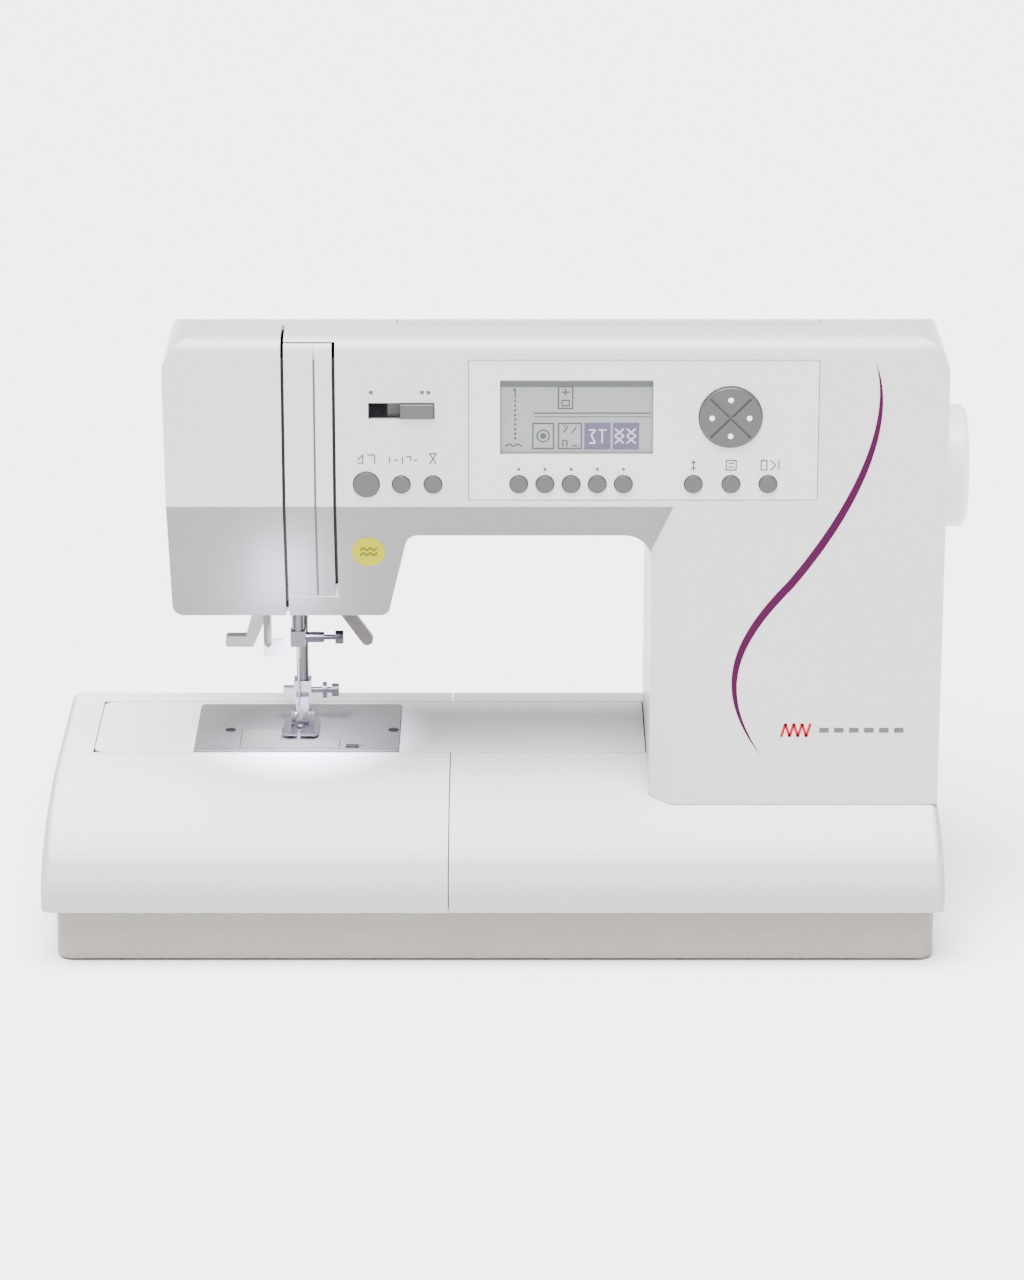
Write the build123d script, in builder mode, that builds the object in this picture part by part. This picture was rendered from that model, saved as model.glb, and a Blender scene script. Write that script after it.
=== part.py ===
"""Computerised free-arm sewing machine, built as separate fitted pieces.

Axes: +X to the handwheel, -Y to the user, +Z up.  The origin is the middle of
the overall footprint, on the table.  All sizes are in millimetres.
"""
from build123d import *
import math
import os

os.makedirs("parts", exist_ok=True)

# ---------------------------------------------------------------- overall
LEFT = -223.2
RIGHT = 223.2
BED_FRONT = -98.0
BED_BACK = 98.0
TOP = 299.0
WALL = 2.5
SEAM = 0.5
GAP = 0.4
RUN = 0.06

# ---------------------------------------------------------------- plinth
PLINTH_X = (-217.0, 204.0)
PLINTH_Y = (-88.0, 89.0)
PLINTH_Z = (1.5, 27.5)
PLINTH_FLOOR = 3.0
DECK_TOP = 20.0
DECK_T = 2.5
FOOT_R = 9.0
PLINTH_R = 8.0
PASSAGE_Y = (-60.0, 60.0)
SLEEVE_GATE_Y = (2.0, 84.0)
FOOT_POS = ((-195.0, -66.0), (-195.0, 66.0), (182.0, -66.0), (182.0, 66.0))

# ---------------------------------------------------------------- bed
BED_TOP = 72.0
BED_BOTTOM = 29.0
BED_FLOOR = 31.5
BED_CORNER_R = 5.0
CURVE_Y = 6.5
CURVE_Z = 36.0
BED_RIGHT = 208.0
TRAY_RIGHT = -29.0
BED_LEFT = TRAY_RIGHT + SEAM
ARM_X = (-205.0, 67.5)
ARM_Y = (6.5, 80.0)
ARM_Z = (36.0, BED_TOP)
ARM_WALL = 2.0
ARM_DECK = 3.0
ARM_NOSE_R = 6.0
SLOT_Y = (ARM_Y[0] - SEAM, ARM_Y[1] + SEAM)
SLOT_LEFT = ARM_X[0] - SEAM
TRAY_MOUTH_X = (-190.0, -60.0)
TRAY_MOUTH_Z = (36.0, 64.0)

# ---------------------------------------------------------------- upper body
BODY_LEFT = -163.0
BODY_RIGHT = 207.0
BODY_FRONT = -51.0
BODY_BACK = 80.0
HEAD_BOTTOM = 156.0
HEAD_RIGHT = -58.0
HEAD_INSET = 1.5
HEAD_SLANT = 10.0
ARM_UNDER = 201.0
COLUMN_LEFT = 68.0
COLUMN_EDGE = 78.0
BEVEL_SLOPE = 0.8
CREASE_Z = 217.0
CREASE_SLOPE = 0.33
TOP_BREAK = ((-23.0, 0.0), (-14.0, 0.8), (-5.0, 2.6), (4.0, 5.2))
TOP_SLOPE = math.tan(math.radians(20))
SPLIT_Y = -26.0
BODY_FOOT = 60.0
TOP_CORNER_R = 17.0
THROAT_R = 13.0
THROAT_HEAD_R = 6.0
HEAD_CORNER_LEFT = 5.5
HEAD_CORNER_RIGHT = 4.5
BROW_R = 9.0
REAR_TOP_R = 18.0

# ---------------------------------------------------------------- shafts
SHAFT_Y = 33.0
SHAFT_Z = 212.0
SHAFT_R = 5.0
CRANK_THROW = 16.0
CRANK_R = 20.0
CRANK_X = (-94.2, -89.0)
ROD_X = (-97.8, -94.8)
ROD_LENGTH = 24.0
ROD_EYE_R = 4.5
CRANK_PIN_R = 2.5
WHEEL_X = (208.5, RIGHT)
WHEEL_R = 30.0
WHEEL_RIM_R = 3.5
WHEEL_CAP = 3.0
LOWER_Y = 43.4
LOWER_Z = 47.0
LOWER_R = 4.0
LOWER_X = (-145.0, 166.0)
LOWER_GEAR_R = 6.0
PULLEY_R = 22.0
TIMING_X = (150.0, 160.0)
DRIVE_R = 28.0
DRIVE_X = (163.0, 174.0)
MOTOR_Y = -17.0
MOTOR_Z = 105.0
MOTOR_R = 22.0
MOTOR_X = (86.0, 141.0)
MOTOR_PULLEY_R = 8.0
MOTOR_SHAFT_R = 2.5
MOTOR_BORE = 11.0
MOTOR_EDGE_R = 4.0
BELT_LIFT = 0.3
BELT_T = 2.0

# ---------------------------------------------------------------- hook
HOOK_X = -122.3
HOOK_Y = 27.0
HOOK_R = 17.6
HOOK_WALL = 2.1
HOOK_FLOOR = (53.4, 55.2)
HOOK_TOP = 65.0
HOOK_GEAR_R = 10.0
HOOK_GEAR_Z = (43.0, 51.0)
HOOK_SHAFT_R = 3.0
CASE_R = 15.1
CASE_BORE = 11.0
CASE_Z = (55.6, 66.0)
BOBBIN_R = 10.25
BOBBIN_Z = (56.9, 67.4)
BOBBIN_HUB_R = 5.0
BOBBIN_BORE_R = 3.1
BOBBIN_FLANGE = 1.0

# ---------------------------------------------------------------- needle zone
NEEDLE_X = -104.5
NEEDLE_Y = SHAFT_Y
BAR_R = 3.0
BAR_Z = (119.0, 262.0)
CLAMP_Z = (119.0, 127.0)
NEEDLE_TIP = 85.0
NEEDLE_R = 0.5
SHANK_R = 1.0
SHANK_BOTTOM = 112.0
SHANK_TOP = CLAMP_Z[1] + 2.0
POINT_LENGTH = 4.0
POINT_R = 0.12
NEEDLE_EYE_R = 0.22
CLAMP_HALF = 3.6
CLAMP_SCREW_Z = (CLAMP_Z[0] + CLAMP_Z[1]) / 2
CLAMP_SCREW_R = 1.3
CLAMP_HEAD_X = (-86.0, -82.0)
CLAMP_HEAD_R = 3.3
DRIVER_Z = SHAFT_Z + CRANK_THROW - ROD_LENGTH
DRIVER_HALF = 4.5
DRIVER_GAP = 2.0
DRIVER_PIN_R = 2.0
PRESSER_X = -103.0
PRESSER_Y = 45.0
PRESSER_Z = (88.0, 212.0)
HOLDER_HALF = 4.3
HOLDER_Z = (86.0, 97.0)
SHANK_HALF = 3.2
THREAD_HOOK_X = -112.6
THREAD_HOOK_Z = (90.0, 93.5)
FOOT_SCREW_Z = 91.0
FOOT_SCREW_R = 1.5
FOOT_COLLAR_X = (-93.0, -91.0)
FOOT_COLLAR_R = 4.0
FOOT_KNOB_X = (-88.5, -85.0)
FOOT_KNOB_R = 3.2
FOOT_PIN = (40.0, 80.0)
FOOT_PIN_R = 1.0
FOOT_X = (-112.4, -94.7)
FOOT_Y = (22.0, 46.0)
FOOT_Z = (74.2, 76.0)
FOOT_CORNER_R = 2.5
FOOT_TOE_R = 1.2
FOOT_HOLE_HALF = 4.0
FOOT_HOLE_Y = (30.5, 36.0)
FOOT_SLIT_HALF = 0.8
FOOT_EAR_T = 2.2
FOOT_EAR_Y = (36.5, 43.5)
FOOT_EAR_TOP = 82.5
LIFT_PIVOT = (-88.0, 138.0)
LIFT_TIP = (-71.0, 114.0)
LIFT_Y = (55.0, 59.0)
LIFT_HUB_R = 5.0
LIFT_W = 6.0
TAKEUP_PIVOT = (10.0, 238.0)
TAKEUP_X = (-107.1, -105.5)
TAKEUP_LENGTH = 50.0
TAKEUP_HUB_R = 6.0
TAKEUP_W = 6.0
THREAD_EYE_R = 1.2
PIVOT_R = 2.5
THREADER_OUTLINE = (
    (-139.0, 125.6),
    (-125.4, 125.6),
    (-119.4, 140.0),
    (-119.4, 153.0),
    (-126.0, 153.0),
    (-126.0, 141.5),
    (-129.0, 131.0),
    (-139.0, 131.0),
)
THREADER_ROUND = 1.2
THREADER_Y = (10.5, 16.5)
THREADER_STEM = (-123.0, 13.5)
THREADER_STEM_Z = (150.0, 200.0)
THREADER_STEM_R = 1.8
THREADER_LEG_X = (-120.4, -117.2)
THREADER_LEG_Z = (120.5, 146.0)
FORK_X = (-118.0, -111.8)
FORK_Y = (22.0, 28.0)
FORK_Z = (116.5, 124.0)
FORK_HOOK_R = 0.5
PLATE_X = (-155.5, -54.5)
PLATE_Y = (6.5, 73.7)
PLATE_Z = (71.0, 73.0)
LEDGE_X = (-150.0, -60.0)
LEDGE_Y = (9.0, 70.0)
COVER_X = (-133.0, -113.2)
COVER_Y = (9.2, 38.0)
STRIP_X = -84.0
STRIP_Y = 21.4
LATCH_Y = (10.1, 13.9)
SCREW_POS = ((-139.0, 35.5), (-57.6, 35.5))
SCREW_R = 2.6
SCREW_SINK = 1.2
SCREW_PROUD = 0.3
SCREW_SLOT = 0.7
ROW_W = 2.4
ROW_LEFT = (-110.6, -100.8)
ROW_Y = (28.0, 42.0)
ROW_Z = (68.6, 73.9)
TOOTH_H = 0.8
TEETH = 10
FEED_ARM_BACK = 60.0
FEED_ARM_T = 1.8
FEED_STEM_X = (-107.0, -102.0)
FEED_STEM_Y = (48.0, 58.0)
FEED_STEM_Z = 57.0

# ---------------------------------------------------------------- chassis
FRAME_X = (80.0, 188.0)
FRAME_T = 6.0
FRAME_FRONT = -30.0
FRAME_BACK = (70.0, 76.0)
FRAME_Z = (PLINTH_Z[0] + PLINTH_FLOOR, 238.0)
FRAME_FOOT_T = 4.5
CHEEK_FRONT = 4.0
BEAM_Y = (62.0, 68.0)
BEAM_Z = (ARM_UNDER + WALL + 1.0, FRAME_Z[1])
HEAD_PLATE_X = (-150.0, -78.0)
HEAD_PLATE_Z = (HEAD_BOTTOM + WALL + 1.0, BEAM_Z[0])
SHAFT_BOSS = 11.0
GUIDE_RIM = 7.0
PRESSER_RIM = 4.5
LOW_GUIDE_X = (PRESSER_X - 9.0, PRESSER_X + 8.0)
LOW_GUIDE_TOP = 166.0
PRESSER_GUIDE_X = (PRESSER_X - 6.0, ROD_X[0] - 0.4)
PRESSER_GUIDE_Z = (188.0, 196.0)
NEEDLE_GUIDE_X = (NEEDLE_X - 5.5, ROD_X[0] - 0.4)
NEEDLE_GUIDE_Z = (222.0, 230.0)
TAKEUP_ARM_X = (TAKEUP_X[0] - 6.9, TAKEUP_X[0] - 3.3)
TAKEUP_BOSS = 6.0
LIFT_LUG_T = 4.0
BED_BEAM_Y = (62.0, 72.0)
BED_BEAM_Z = (ARM_Z[0] + WALL + 0.1, 54.0)
HOOK_PLATE_X = (-150.0, -86.0)
HOOK_PLATE_TOP = 41.0
BEARING_X = (-145.0, -92.0)
LOWER_BOSS = 7.4

# ---------------------------------------------------------------- controls
PANEL_X = (-19.0, 146.0)
PANEL_Z = (220.0, 289.0)
PANEL_FIT = 0.3
LCD_X = (-4.0, 68.0)
LCD_Z = (242.5, 279.0)
KEY_Z = 228.0
KEY_R = 4.2
KEY_FIT = 0.35
SOFT_X = tuple(4.8 + 12.35 * i for i in range(5))
FUNCTION_X = (87.2, 105.0, 122.5)
PAD_POS = (104.4, 261.0)
PAD_R = 14.8
START_POS = (-67.2, 6.1)
REVERSE_POS = (-50.7, KEY_R)
NEEDLE_KEY_POS = (-35.7, KEY_R)
GLASS_Y = (BODY_FRONT + 3.4, BODY_FRONT + 8.0)
BOARD_Y = (BODY_FRONT + 13.0, BODY_FRONT + 14.6)
SOCKET_X = (80.0, 130.0)
SOCKET_Z = (225.0, 245.0)
SOCKET_T = 4.4
SLIDER_X = (-66.0, -34.8)
SLIDER_Z = (260.0, 268.0)
KNOB_LEFT = -51.0
FACE_SLOT_X = (-107.0, -105.5)
CHANNEL_X = (FACE_SLOT_X[1], -83.0)
CHANNEL_WINDOW_RIGHT = -81.5
CHANNEL_Z = (166.0, 296.8)
CHANNEL_LINE_X = -91.4

# ---------------------------------------------------------------- top and side
WELL_X = (-55.0, 150.0)
WELL_Y = (SPLIT_Y + GAP / 2, 58.0)
WELL_Z = 250.0
WELL_T = 2.0
PIN_Y = 18.0
PIN_Z = 268.0
PIN_R = 2.8
PIN_POST_T = 6.0
PIN_POST_W = 16.0
PIN_X = (40.0, 94.0)
VENTS = 6
VENT_X = (100.0, 180.0)
VENT_Z = 120.0
VENT_PITCH = 9.0
VENT_H = 3.0
INLET_Y = (12.0, 40.0)
INLET_Z = (90.0, 112.0)
INLET_DEPTH = 14.0
INLET_WALL = 3.5
CONTACT_INSET = 9.0
CONTACT_R = 1.2
SWITCH_Y = (-16.0, -2.0)
SWITCH_Z = (91.0, 111.0)
ROCKER_DEPTH = 7.0
ROCKER_HALF = 8.6
HEAD_HOLE_X = (-128.0, -92.0)
HEAD_HOLE_Y = (-2.0, 56.0)
LIFT_SLOT_X = (-96.0, -64.0)
LIFT_SLOT_Y = (53.0, 69.5)
LENS_X = (-88.0, -66.0)
LENS_Y = (-18.0, -5.0)


def block(xs, ys, zs, mode=Mode.ADD):
    """Axis-aligned box given by its three spans."""
    centre = tuple((s[0] + s[1]) / 2 for s in (xs, ys, zs))
    with Locations(centre):
        Box(xs[1] - xs[0], ys[1] - ys[0], zs[1] - zs[0], mode=mode)


def rod_x(xs, y, z, r, mode=Mode.ADD):
    """Round bar along X."""
    with Locations(Location(((xs[0] + xs[1]) / 2, y, z), (0, 90, 0))):
        Cylinder(r, xs[1] - xs[0], mode=mode)


def rod_y(x, ys, z, r, mode=Mode.ADD):
    """Round bar along Y."""
    with Locations(Location((x, (ys[0] + ys[1]) / 2, z), (90, 0, 0))):
        Cylinder(r, ys[1] - ys[0], mode=mode)


def rod_z(x, y, zs, r, mode=Mode.ADD):
    """Round bar along Z."""
    with Locations((x, y, (zs[0] + zs[1]) / 2)):
        Cylinder(r, zs[1] - zs[0], mode=mode)


def round_corner(sketch, x, y, r):
    """Round the sketch corner nearest to (x, y)."""
    fillet(sketch.vertices().sort_by_distance((x, y, 0))[0], radius=r)


def body_envelope(t):
    """Solid of the upper body, taken in by t on every face."""
    slant = HEAD_RIGHT + HEAD_SLANT
    with BuildPart() as step:
        with BuildSketch(Plane.YZ.offset(BODY_LEFT - 10)):
            with BuildLine():
                Polyline(
                    (BODY_FRONT - 10, CREASE_Z),
                    (BODY_FRONT + t, CREASE_Z),
                    (BODY_FRONT + t + CREASE_SLOPE * (CREASE_Z - BODY_FOOT), BODY_FOOT),
                    (BODY_FRONT - 10, BODY_FOOT),
                    close=True,
                )
            make_face()
        extrude(amount=COLUMN_EDGE - BODY_LEFT + 20)
        reach = COLUMN_EDGE + 0.35 * t
        with BuildSketch(Plane.XY.offset(BODY_FOOT)):
            with BuildLine():
                Polyline(
                    (reach, BODY_FRONT + t),
                    (BODY_LEFT - 10, BODY_FRONT + t + BEVEL_SLOPE * (reach - BODY_LEFT + 10)),
                    (BODY_LEFT - 10, BODY_FRONT - 10),
                    (reach, BODY_FRONT - 10),
                    close=True,
                )
            make_face()
        extrude(amount=CREASE_Z - BODY_FOOT, mode=Mode.INTERSECT)
    with BuildPart() as env:
        with BuildSketch(Plane.XZ) as front:
            with BuildLine():
                Polyline(
                    (BODY_LEFT + t, TOP - t),
                    (BODY_RIGHT - t, TOP - t),
                    (BODY_RIGHT - t, BODY_FOOT),
                    (COLUMN_LEFT + t, BODY_FOOT),
                    (COLUMN_LEFT + t, ARM_UNDER + t),
                    (slant - t, ARM_UNDER + t),
                    (HEAD_RIGHT - t, HEAD_BOTTOM + t),
                    (BODY_LEFT + t + HEAD_INSET, HEAD_BOTTOM + t),
                    close=True,
                )
            make_face()
            round_corner(front, BODY_LEFT + t, TOP - t, TOP_CORNER_R - t)
            round_corner(front, BODY_RIGHT - t, TOP - t, TOP_CORNER_R - t)
            round_corner(front, COLUMN_LEFT + t, ARM_UNDER + t, THROAT_R + t)
            round_corner(front, slant - t, ARM_UNDER + t, THROAT_HEAD_R + t)
            round_corner(front, HEAD_RIGHT - t, HEAD_BOTTOM + t, HEAD_CORNER_RIGHT - t)
            round_corner(front, BODY_LEFT + t + HEAD_INSET, HEAD_BOTTOM + t, HEAD_CORNER_LEFT - t)
        extrude(amount=150, both=True)
        fall = TOP_BREAK[-1][1] + TOP_SLOPE * (BODY_BACK - t - TOP_BREAK[-1][0])
        with BuildSketch(Plane.YZ) as side:
            with BuildLine():
                Polyline(
                    (BODY_FRONT + t, BODY_FOOT),
                    (BODY_FRONT + t, TOP - t),
                    *[(y, TOP - t - drop) for y, drop in TOP_BREAK],
                    (BODY_BACK - t, TOP - t - fall),
                    (BODY_BACK - t, BODY_FOOT),
                    close=True,
                )
            make_face()
            round_corner(side, BODY_FRONT + t, TOP - t, BROW_R - t)
            round_corner(side, BODY_BACK - t, TOP - t - fall, REAR_TOP_R - t)
        extrude(amount=300, both=True, mode=Mode.INTERSECT)
        add(step.part, mode=Mode.SUBTRACT)
    return env.part


def bed_solid(xs, t, floor, corner=0.0, end=0):
    """Solid with the bed's section: flat top, elliptical nose, upright back.

    A corner radius rounds one end: 0 for the left, -1 for the right.
    """
    with BuildPart() as bed:
        with BuildSketch(Plane.YZ.offset(xs[0])) as section:
            with BuildLine():
                nose = EllipticalCenterArc(
                    (CURVE_Y, CURVE_Z),
                    CURVE_Y - BED_FRONT - t,
                    BED_TOP - CURVE_Z - t,
                    start_angle=90,
                    arc_size=90,
                )
                Polyline(
                    nose @ 1,
                    (BED_FRONT + t, floor),
                    (BED_BACK - t, floor),
                    (BED_BACK - t, BED_TOP - t),
                    nose @ 0,
                )
            make_face()
            round_corner(section, BED_BACK - t, BED_TOP - t, BED_CORNER_R - t)
        extrude(amount=xs[1] - xs[0])
        if corner:
            side = bed.faces().sort_by(Axis.X)[end]
            fillet(side.edges().filter_by(lambda e: e.center().Z > floor + 1), radius=corner)
    return bed.part


body_outer = body_envelope(0.0)
body_inner = body_envelope(WALL)
body_skin = body_envelope(0.8)
bed_keepout = bed_solid((COLUMN_LEFT - 10, RIGHT), -GAP, -1.0)

# ================================================================ base
with BuildPart() as base_plinth:
    block(PLINTH_X, PLINTH_Y, PLINTH_Z)
    fillet(base_plinth.edges().filter_by(Axis.Z), radius=PLINTH_R)
    inner_y = (PLINTH_Y[0] + WALL, PLINTH_Y[1] - WALL)
    bay_x = (COLUMN_LEFT + 4, PLINTH_X[1] - WALL)
    deck_x = (PLINTH_X[0] + WALL, COLUMN_LEFT + 1.5)
    hollow_z = (PLINTH_Z[0] + PLINTH_FLOOR, DECK_TOP - DECK_T)
    block(bay_x, inner_y, (hollow_z[0], PLINTH_Z[1]), mode=Mode.SUBTRACT)
    block(deck_x, inner_y, (DECK_TOP, PLINTH_Z[1]), mode=Mode.SUBTRACT)
    block(deck_x, inner_y, hollow_z, mode=Mode.SUBTRACT)
    block((deck_x[1], bay_x[0]), PASSAGE_Y, hollow_z, mode=Mode.SUBTRACT)
    block((PLINTH_X[0], deck_x[0]), SLEEVE_GATE_Y, (DECK_TOP, PLINTH_Z[1]), mode=Mode.SUBTRACT)
    for px, py in FOOT_POS:
        rod_z(px, py, (PLINTH_Z[0], PLINTH_Z[0] * 2), FOOT_R, mode=Mode.SUBTRACT)
base_plinth.part.label = "base_plinth"
export_step(base_plinth.part, "parts/base_plinth.step")

with BuildPart() as rubber_feet:
    for px, py in FOOT_POS:
        rod_z(px, py, (0, PLINTH_Z[0] * 2), FOOT_R)
rubber_feet.part.label = "rubber_feet"
export_step(rubber_feet.part, "parts/rubber_feet.step")

bed_outer = bed_solid((BED_LEFT, BED_RIGHT), 0.0, BED_BOTTOM, corner=BED_CORNER_R, end=-1)
bed_hollow = bed_solid((BED_LEFT + WALL, BED_RIGHT - WALL), WALL, BED_BOTTOM - 1)
with BuildPart() as bed_cavity:
    add(bed_hollow)
    block((BED_LEFT, COLUMN_LEFT + 2), (SLOT_Y[0] - WALL, SLOT_Y[1] + WALL), (0, TOP), mode=Mode.SUBTRACT)
with BuildPart() as bed_cover:
    add(bed_outer)
    add(bed_cavity.part, mode=Mode.SUBTRACT)
    block((BED_LEFT - 1, COLUMN_LEFT + 2.1), SLOT_Y, (0, TOP), mode=Mode.SUBTRACT)
    block((COLUMN_LEFT + 3, BODY_RIGHT - 3), (-40, 76.6), (BED_TOP - 10, TOP), mode=Mode.SUBTRACT)
bed_cover.part.label = "bed_cover"
export_step(bed_cover.part, "parts/bed_cover.step")

tray_outer = bed_solid((LEFT, TRAY_RIGHT), 0.0, BED_BOTTOM, corner=BED_CORNER_R)
tray_hollow = bed_solid((LEFT + WALL, TRAY_RIGHT - WALL), WALL, BED_FLOOR)
with BuildPart() as tray_cavity:
    add(tray_hollow)
    block(
        (SLOT_LEFT - WALL, TRAY_RIGHT + 1),
        (SLOT_Y[0] - WALL, SLOT_Y[1] + WALL),
        (0, TOP),
        mode=Mode.SUBTRACT,
    )
with BuildPart() as extension_tray:
    add(tray_outer)
    add(tray_cavity.part, mode=Mode.SUBTRACT)
    block((SLOT_LEFT, TRAY_RIGHT + 1), SLOT_Y, (0, TOP), mode=Mode.SUBTRACT)
    block(TRAY_MOUTH_X, (SLOT_Y[0] - WALL - 1, SLOT_Y[0] + 1), TRAY_MOUTH_Z, mode=Mode.SUBTRACT)
extension_tray.part.label = "extension_tray"
export_step(extension_tray.part, "parts/extension_tray.step")

with BuildPart() as free_arm_cover:
    block(ARM_X, ARM_Y, ARM_Z)
    fillet(free_arm_cover.edges().group_by(Axis.X)[0].filter_by(Axis.Z), radius=ARM_NOSE_R)
    block(
        (ARM_X[0] + ARM_WALL, ARM_X[1]),
        (ARM_Y[0] + ARM_WALL, ARM_Y[1] - ARM_WALL),
        (ARM_Z[0] + WALL, ARM_Z[1] - ARM_DECK),
        mode=Mode.SUBTRACT,
    )
    block(
        (PLATE_X[0] - GAP, PLATE_X[1] + GAP),
        (ARM_Y[0] - 1, PLATE_Y[1] + GAP),
        (PLATE_Z[0], TOP),
        mode=Mode.SUBTRACT,
    )
    block(LEDGE_X, LEDGE_Y, (ARM_Z[1] - ARM_DECK - 1, TOP), mode=Mode.SUBTRACT)
free_arm_cover.part.label = "free_arm_cover"
export_step(free_arm_cover.part, "parts/free_arm_cover.step")

# ================================================================ upper covers
with BuildPart() as front_cover:
    add(body_outer)
    add(body_inner, mode=Mode.SUBTRACT)
    block((FACE_SLOT_X[1], RIGHT), (BODY_FRONT - 5, SPLIT_Y - GAP / 2), (0, TOP + 5), mode=Mode.INTERSECT)
    add(bed_keepout, mode=Mode.SUBTRACT)
    block(
        (FACE_SLOT_X[1] - 1, CHANNEL_WINDOW_RIGHT),
        (BODY_FRONT - 5, SPLIT_Y - 8),
        CHANNEL_Z,
        mode=Mode.SUBTRACT,
    )
    block(PANEL_X, (BODY_FRONT - 5, BODY_FRONT + 10), PANEL_Z, mode=Mode.SUBTRACT)
    block(SLIDER_X, (BODY_FRONT - 5, BODY_FRONT + 10), SLIDER_Z, mode=Mode.SUBTRACT)
    for kx, kr in (START_POS, REVERSE_POS, NEEDLE_KEY_POS):
        rod_y(kx, (BODY_FRONT - 5, BODY_FRONT + 10), KEY_Z, kr + KEY_FIT, mode=Mode.SUBTRACT)
front_cover.part.label = "front_cover"
export_step(front_cover.part, "parts/front_cover.step")

with BuildPart() as face_cover:
    add(body_outer)
    add(body_inner, mode=Mode.SUBTRACT)
    block(
        (BODY_LEFT - 5, FACE_SLOT_X[0]),
        (BODY_FRONT - 5, SPLIT_Y - GAP / 2),
        (0, TOP + 5),
        mode=Mode.INTERSECT,
    )
face_cover.part.label = "face_cover"
export_step(face_cover.part, "parts/face_cover.step")

with BuildPart() as channel_line:
    block((CHANNEL_LINE_X - 0.5, CHANNEL_LINE_X + 0.5), (BODY_FRONT - 5, SPLIT_Y), (BODY_FOOT, TOP))
    add(body_skin, mode=Mode.SUBTRACT)

with BuildPart() as thread_channel_cover:
    add(body_outer)
    add(body_inner, mode=Mode.SUBTRACT)
    block(
        CHANNEL_X,
        (BODY_FRONT - 5, SPLIT_Y - 8.5),
        (CHANNEL_Z[0] + 0.6, CHANNEL_Z[1] - 0.6),
        mode=Mode.INTERSECT,
    )
    add(channel_line.part, mode=Mode.SUBTRACT)
thread_channel_cover.part.label = "thread_channel_cover"
export_step(thread_channel_cover.part, "parts/thread_channel_cover.step")

with BuildPart() as rear_hollow:
    add(body_inner)
    block(WELL_X, WELL_Y, (WELL_Z, TOP + 5), mode=Mode.SUBTRACT)

lid_x = (WELL_X[0] + WELL_T, WELL_X[1] - WELL_T)
lid_y = (WELL_Y[0] + WELL_T, WELL_Y[1] - WELL_T)
with BuildPart() as rear_cover:
    add(body_outer)
    add(rear_hollow.part, mode=Mode.SUBTRACT)
    block(
        (BODY_LEFT - 5, RIGHT),
        (SPLIT_Y + GAP / 2, BODY_BACK + 5),
        (0, TOP + 5),
        mode=Mode.INTERSECT,
    )
    add(bed_keepout, mode=Mode.SUBTRACT)
    block(lid_x, lid_y, (WELL_Z + WELL_T, TOP + 5), mode=Mode.SUBTRACT)
    block(HEAD_HOLE_X, HEAD_HOLE_Y, (HEAD_BOTTOM - 5, HEAD_BOTTOM + 5), mode=Mode.SUBTRACT)
    block(LIFT_SLOT_X, LIFT_SLOT_Y, (HEAD_BOTTOM - 5, HEAD_BOTTOM + 5), mode=Mode.SUBTRACT)
    block(LENS_X, LENS_Y, (HEAD_BOTTOM - 5, HEAD_BOTTOM + 5), mode=Mode.SUBTRACT)
    rod_x((BODY_RIGHT - 10, BODY_RIGHT + 1), SHAFT_Y, SHAFT_Z, SHAFT_R + 2, mode=Mode.SUBTRACT)
    block((BODY_RIGHT - 5, BODY_RIGHT + 1), INLET_Y, INLET_Z, mode=Mode.SUBTRACT)
    block((BODY_RIGHT - 5, BODY_RIGHT + 1), SWITCH_Y, SWITCH_Z, mode=Mode.SUBTRACT)
    for i in range(VENTS):
        vent_z = VENT_Z + VENT_PITCH * i
        block(VENT_X, (BODY_BACK - 5, BODY_BACK + 1), (vent_z, vent_z + VENT_H), mode=Mode.SUBTRACT)
rear_cover.part.label = "rear_cover"
export_step(rear_cover.part, "parts/rear_cover.step")

with BuildPart() as top_lid:
    add(body_outer)
    add(body_inner, mode=Mode.SUBTRACT)
    block(
        (lid_x[0] + GAP, lid_x[1] - GAP),
        (lid_y[0] + GAP, lid_y[1] - GAP),
        (WELL_Z + 10, TOP + 5),
        mode=Mode.INTERSECT,
    )
top_lid.part.label = "top_lid"
export_step(top_lid.part, "parts/top_lid.step")

with BuildPart() as spool_pin:
    block(
        (PIN_X[0], PIN_X[0] + PIN_POST_T),
        (PIN_Y - PIN_POST_W / 2, PIN_Y + PIN_POST_W / 2),
        (WELL_Z + WELL_T, PIN_Z + PIN_POST_T),
    )
    rod_x((PIN_X[0] + PIN_POST_T, PIN_X[1]), PIN_Y, PIN_Z, PIN_R)
spool_pin.part.label = "spool_pin"
export_step(spool_pin.part, "parts/spool_pin.step")

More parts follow.
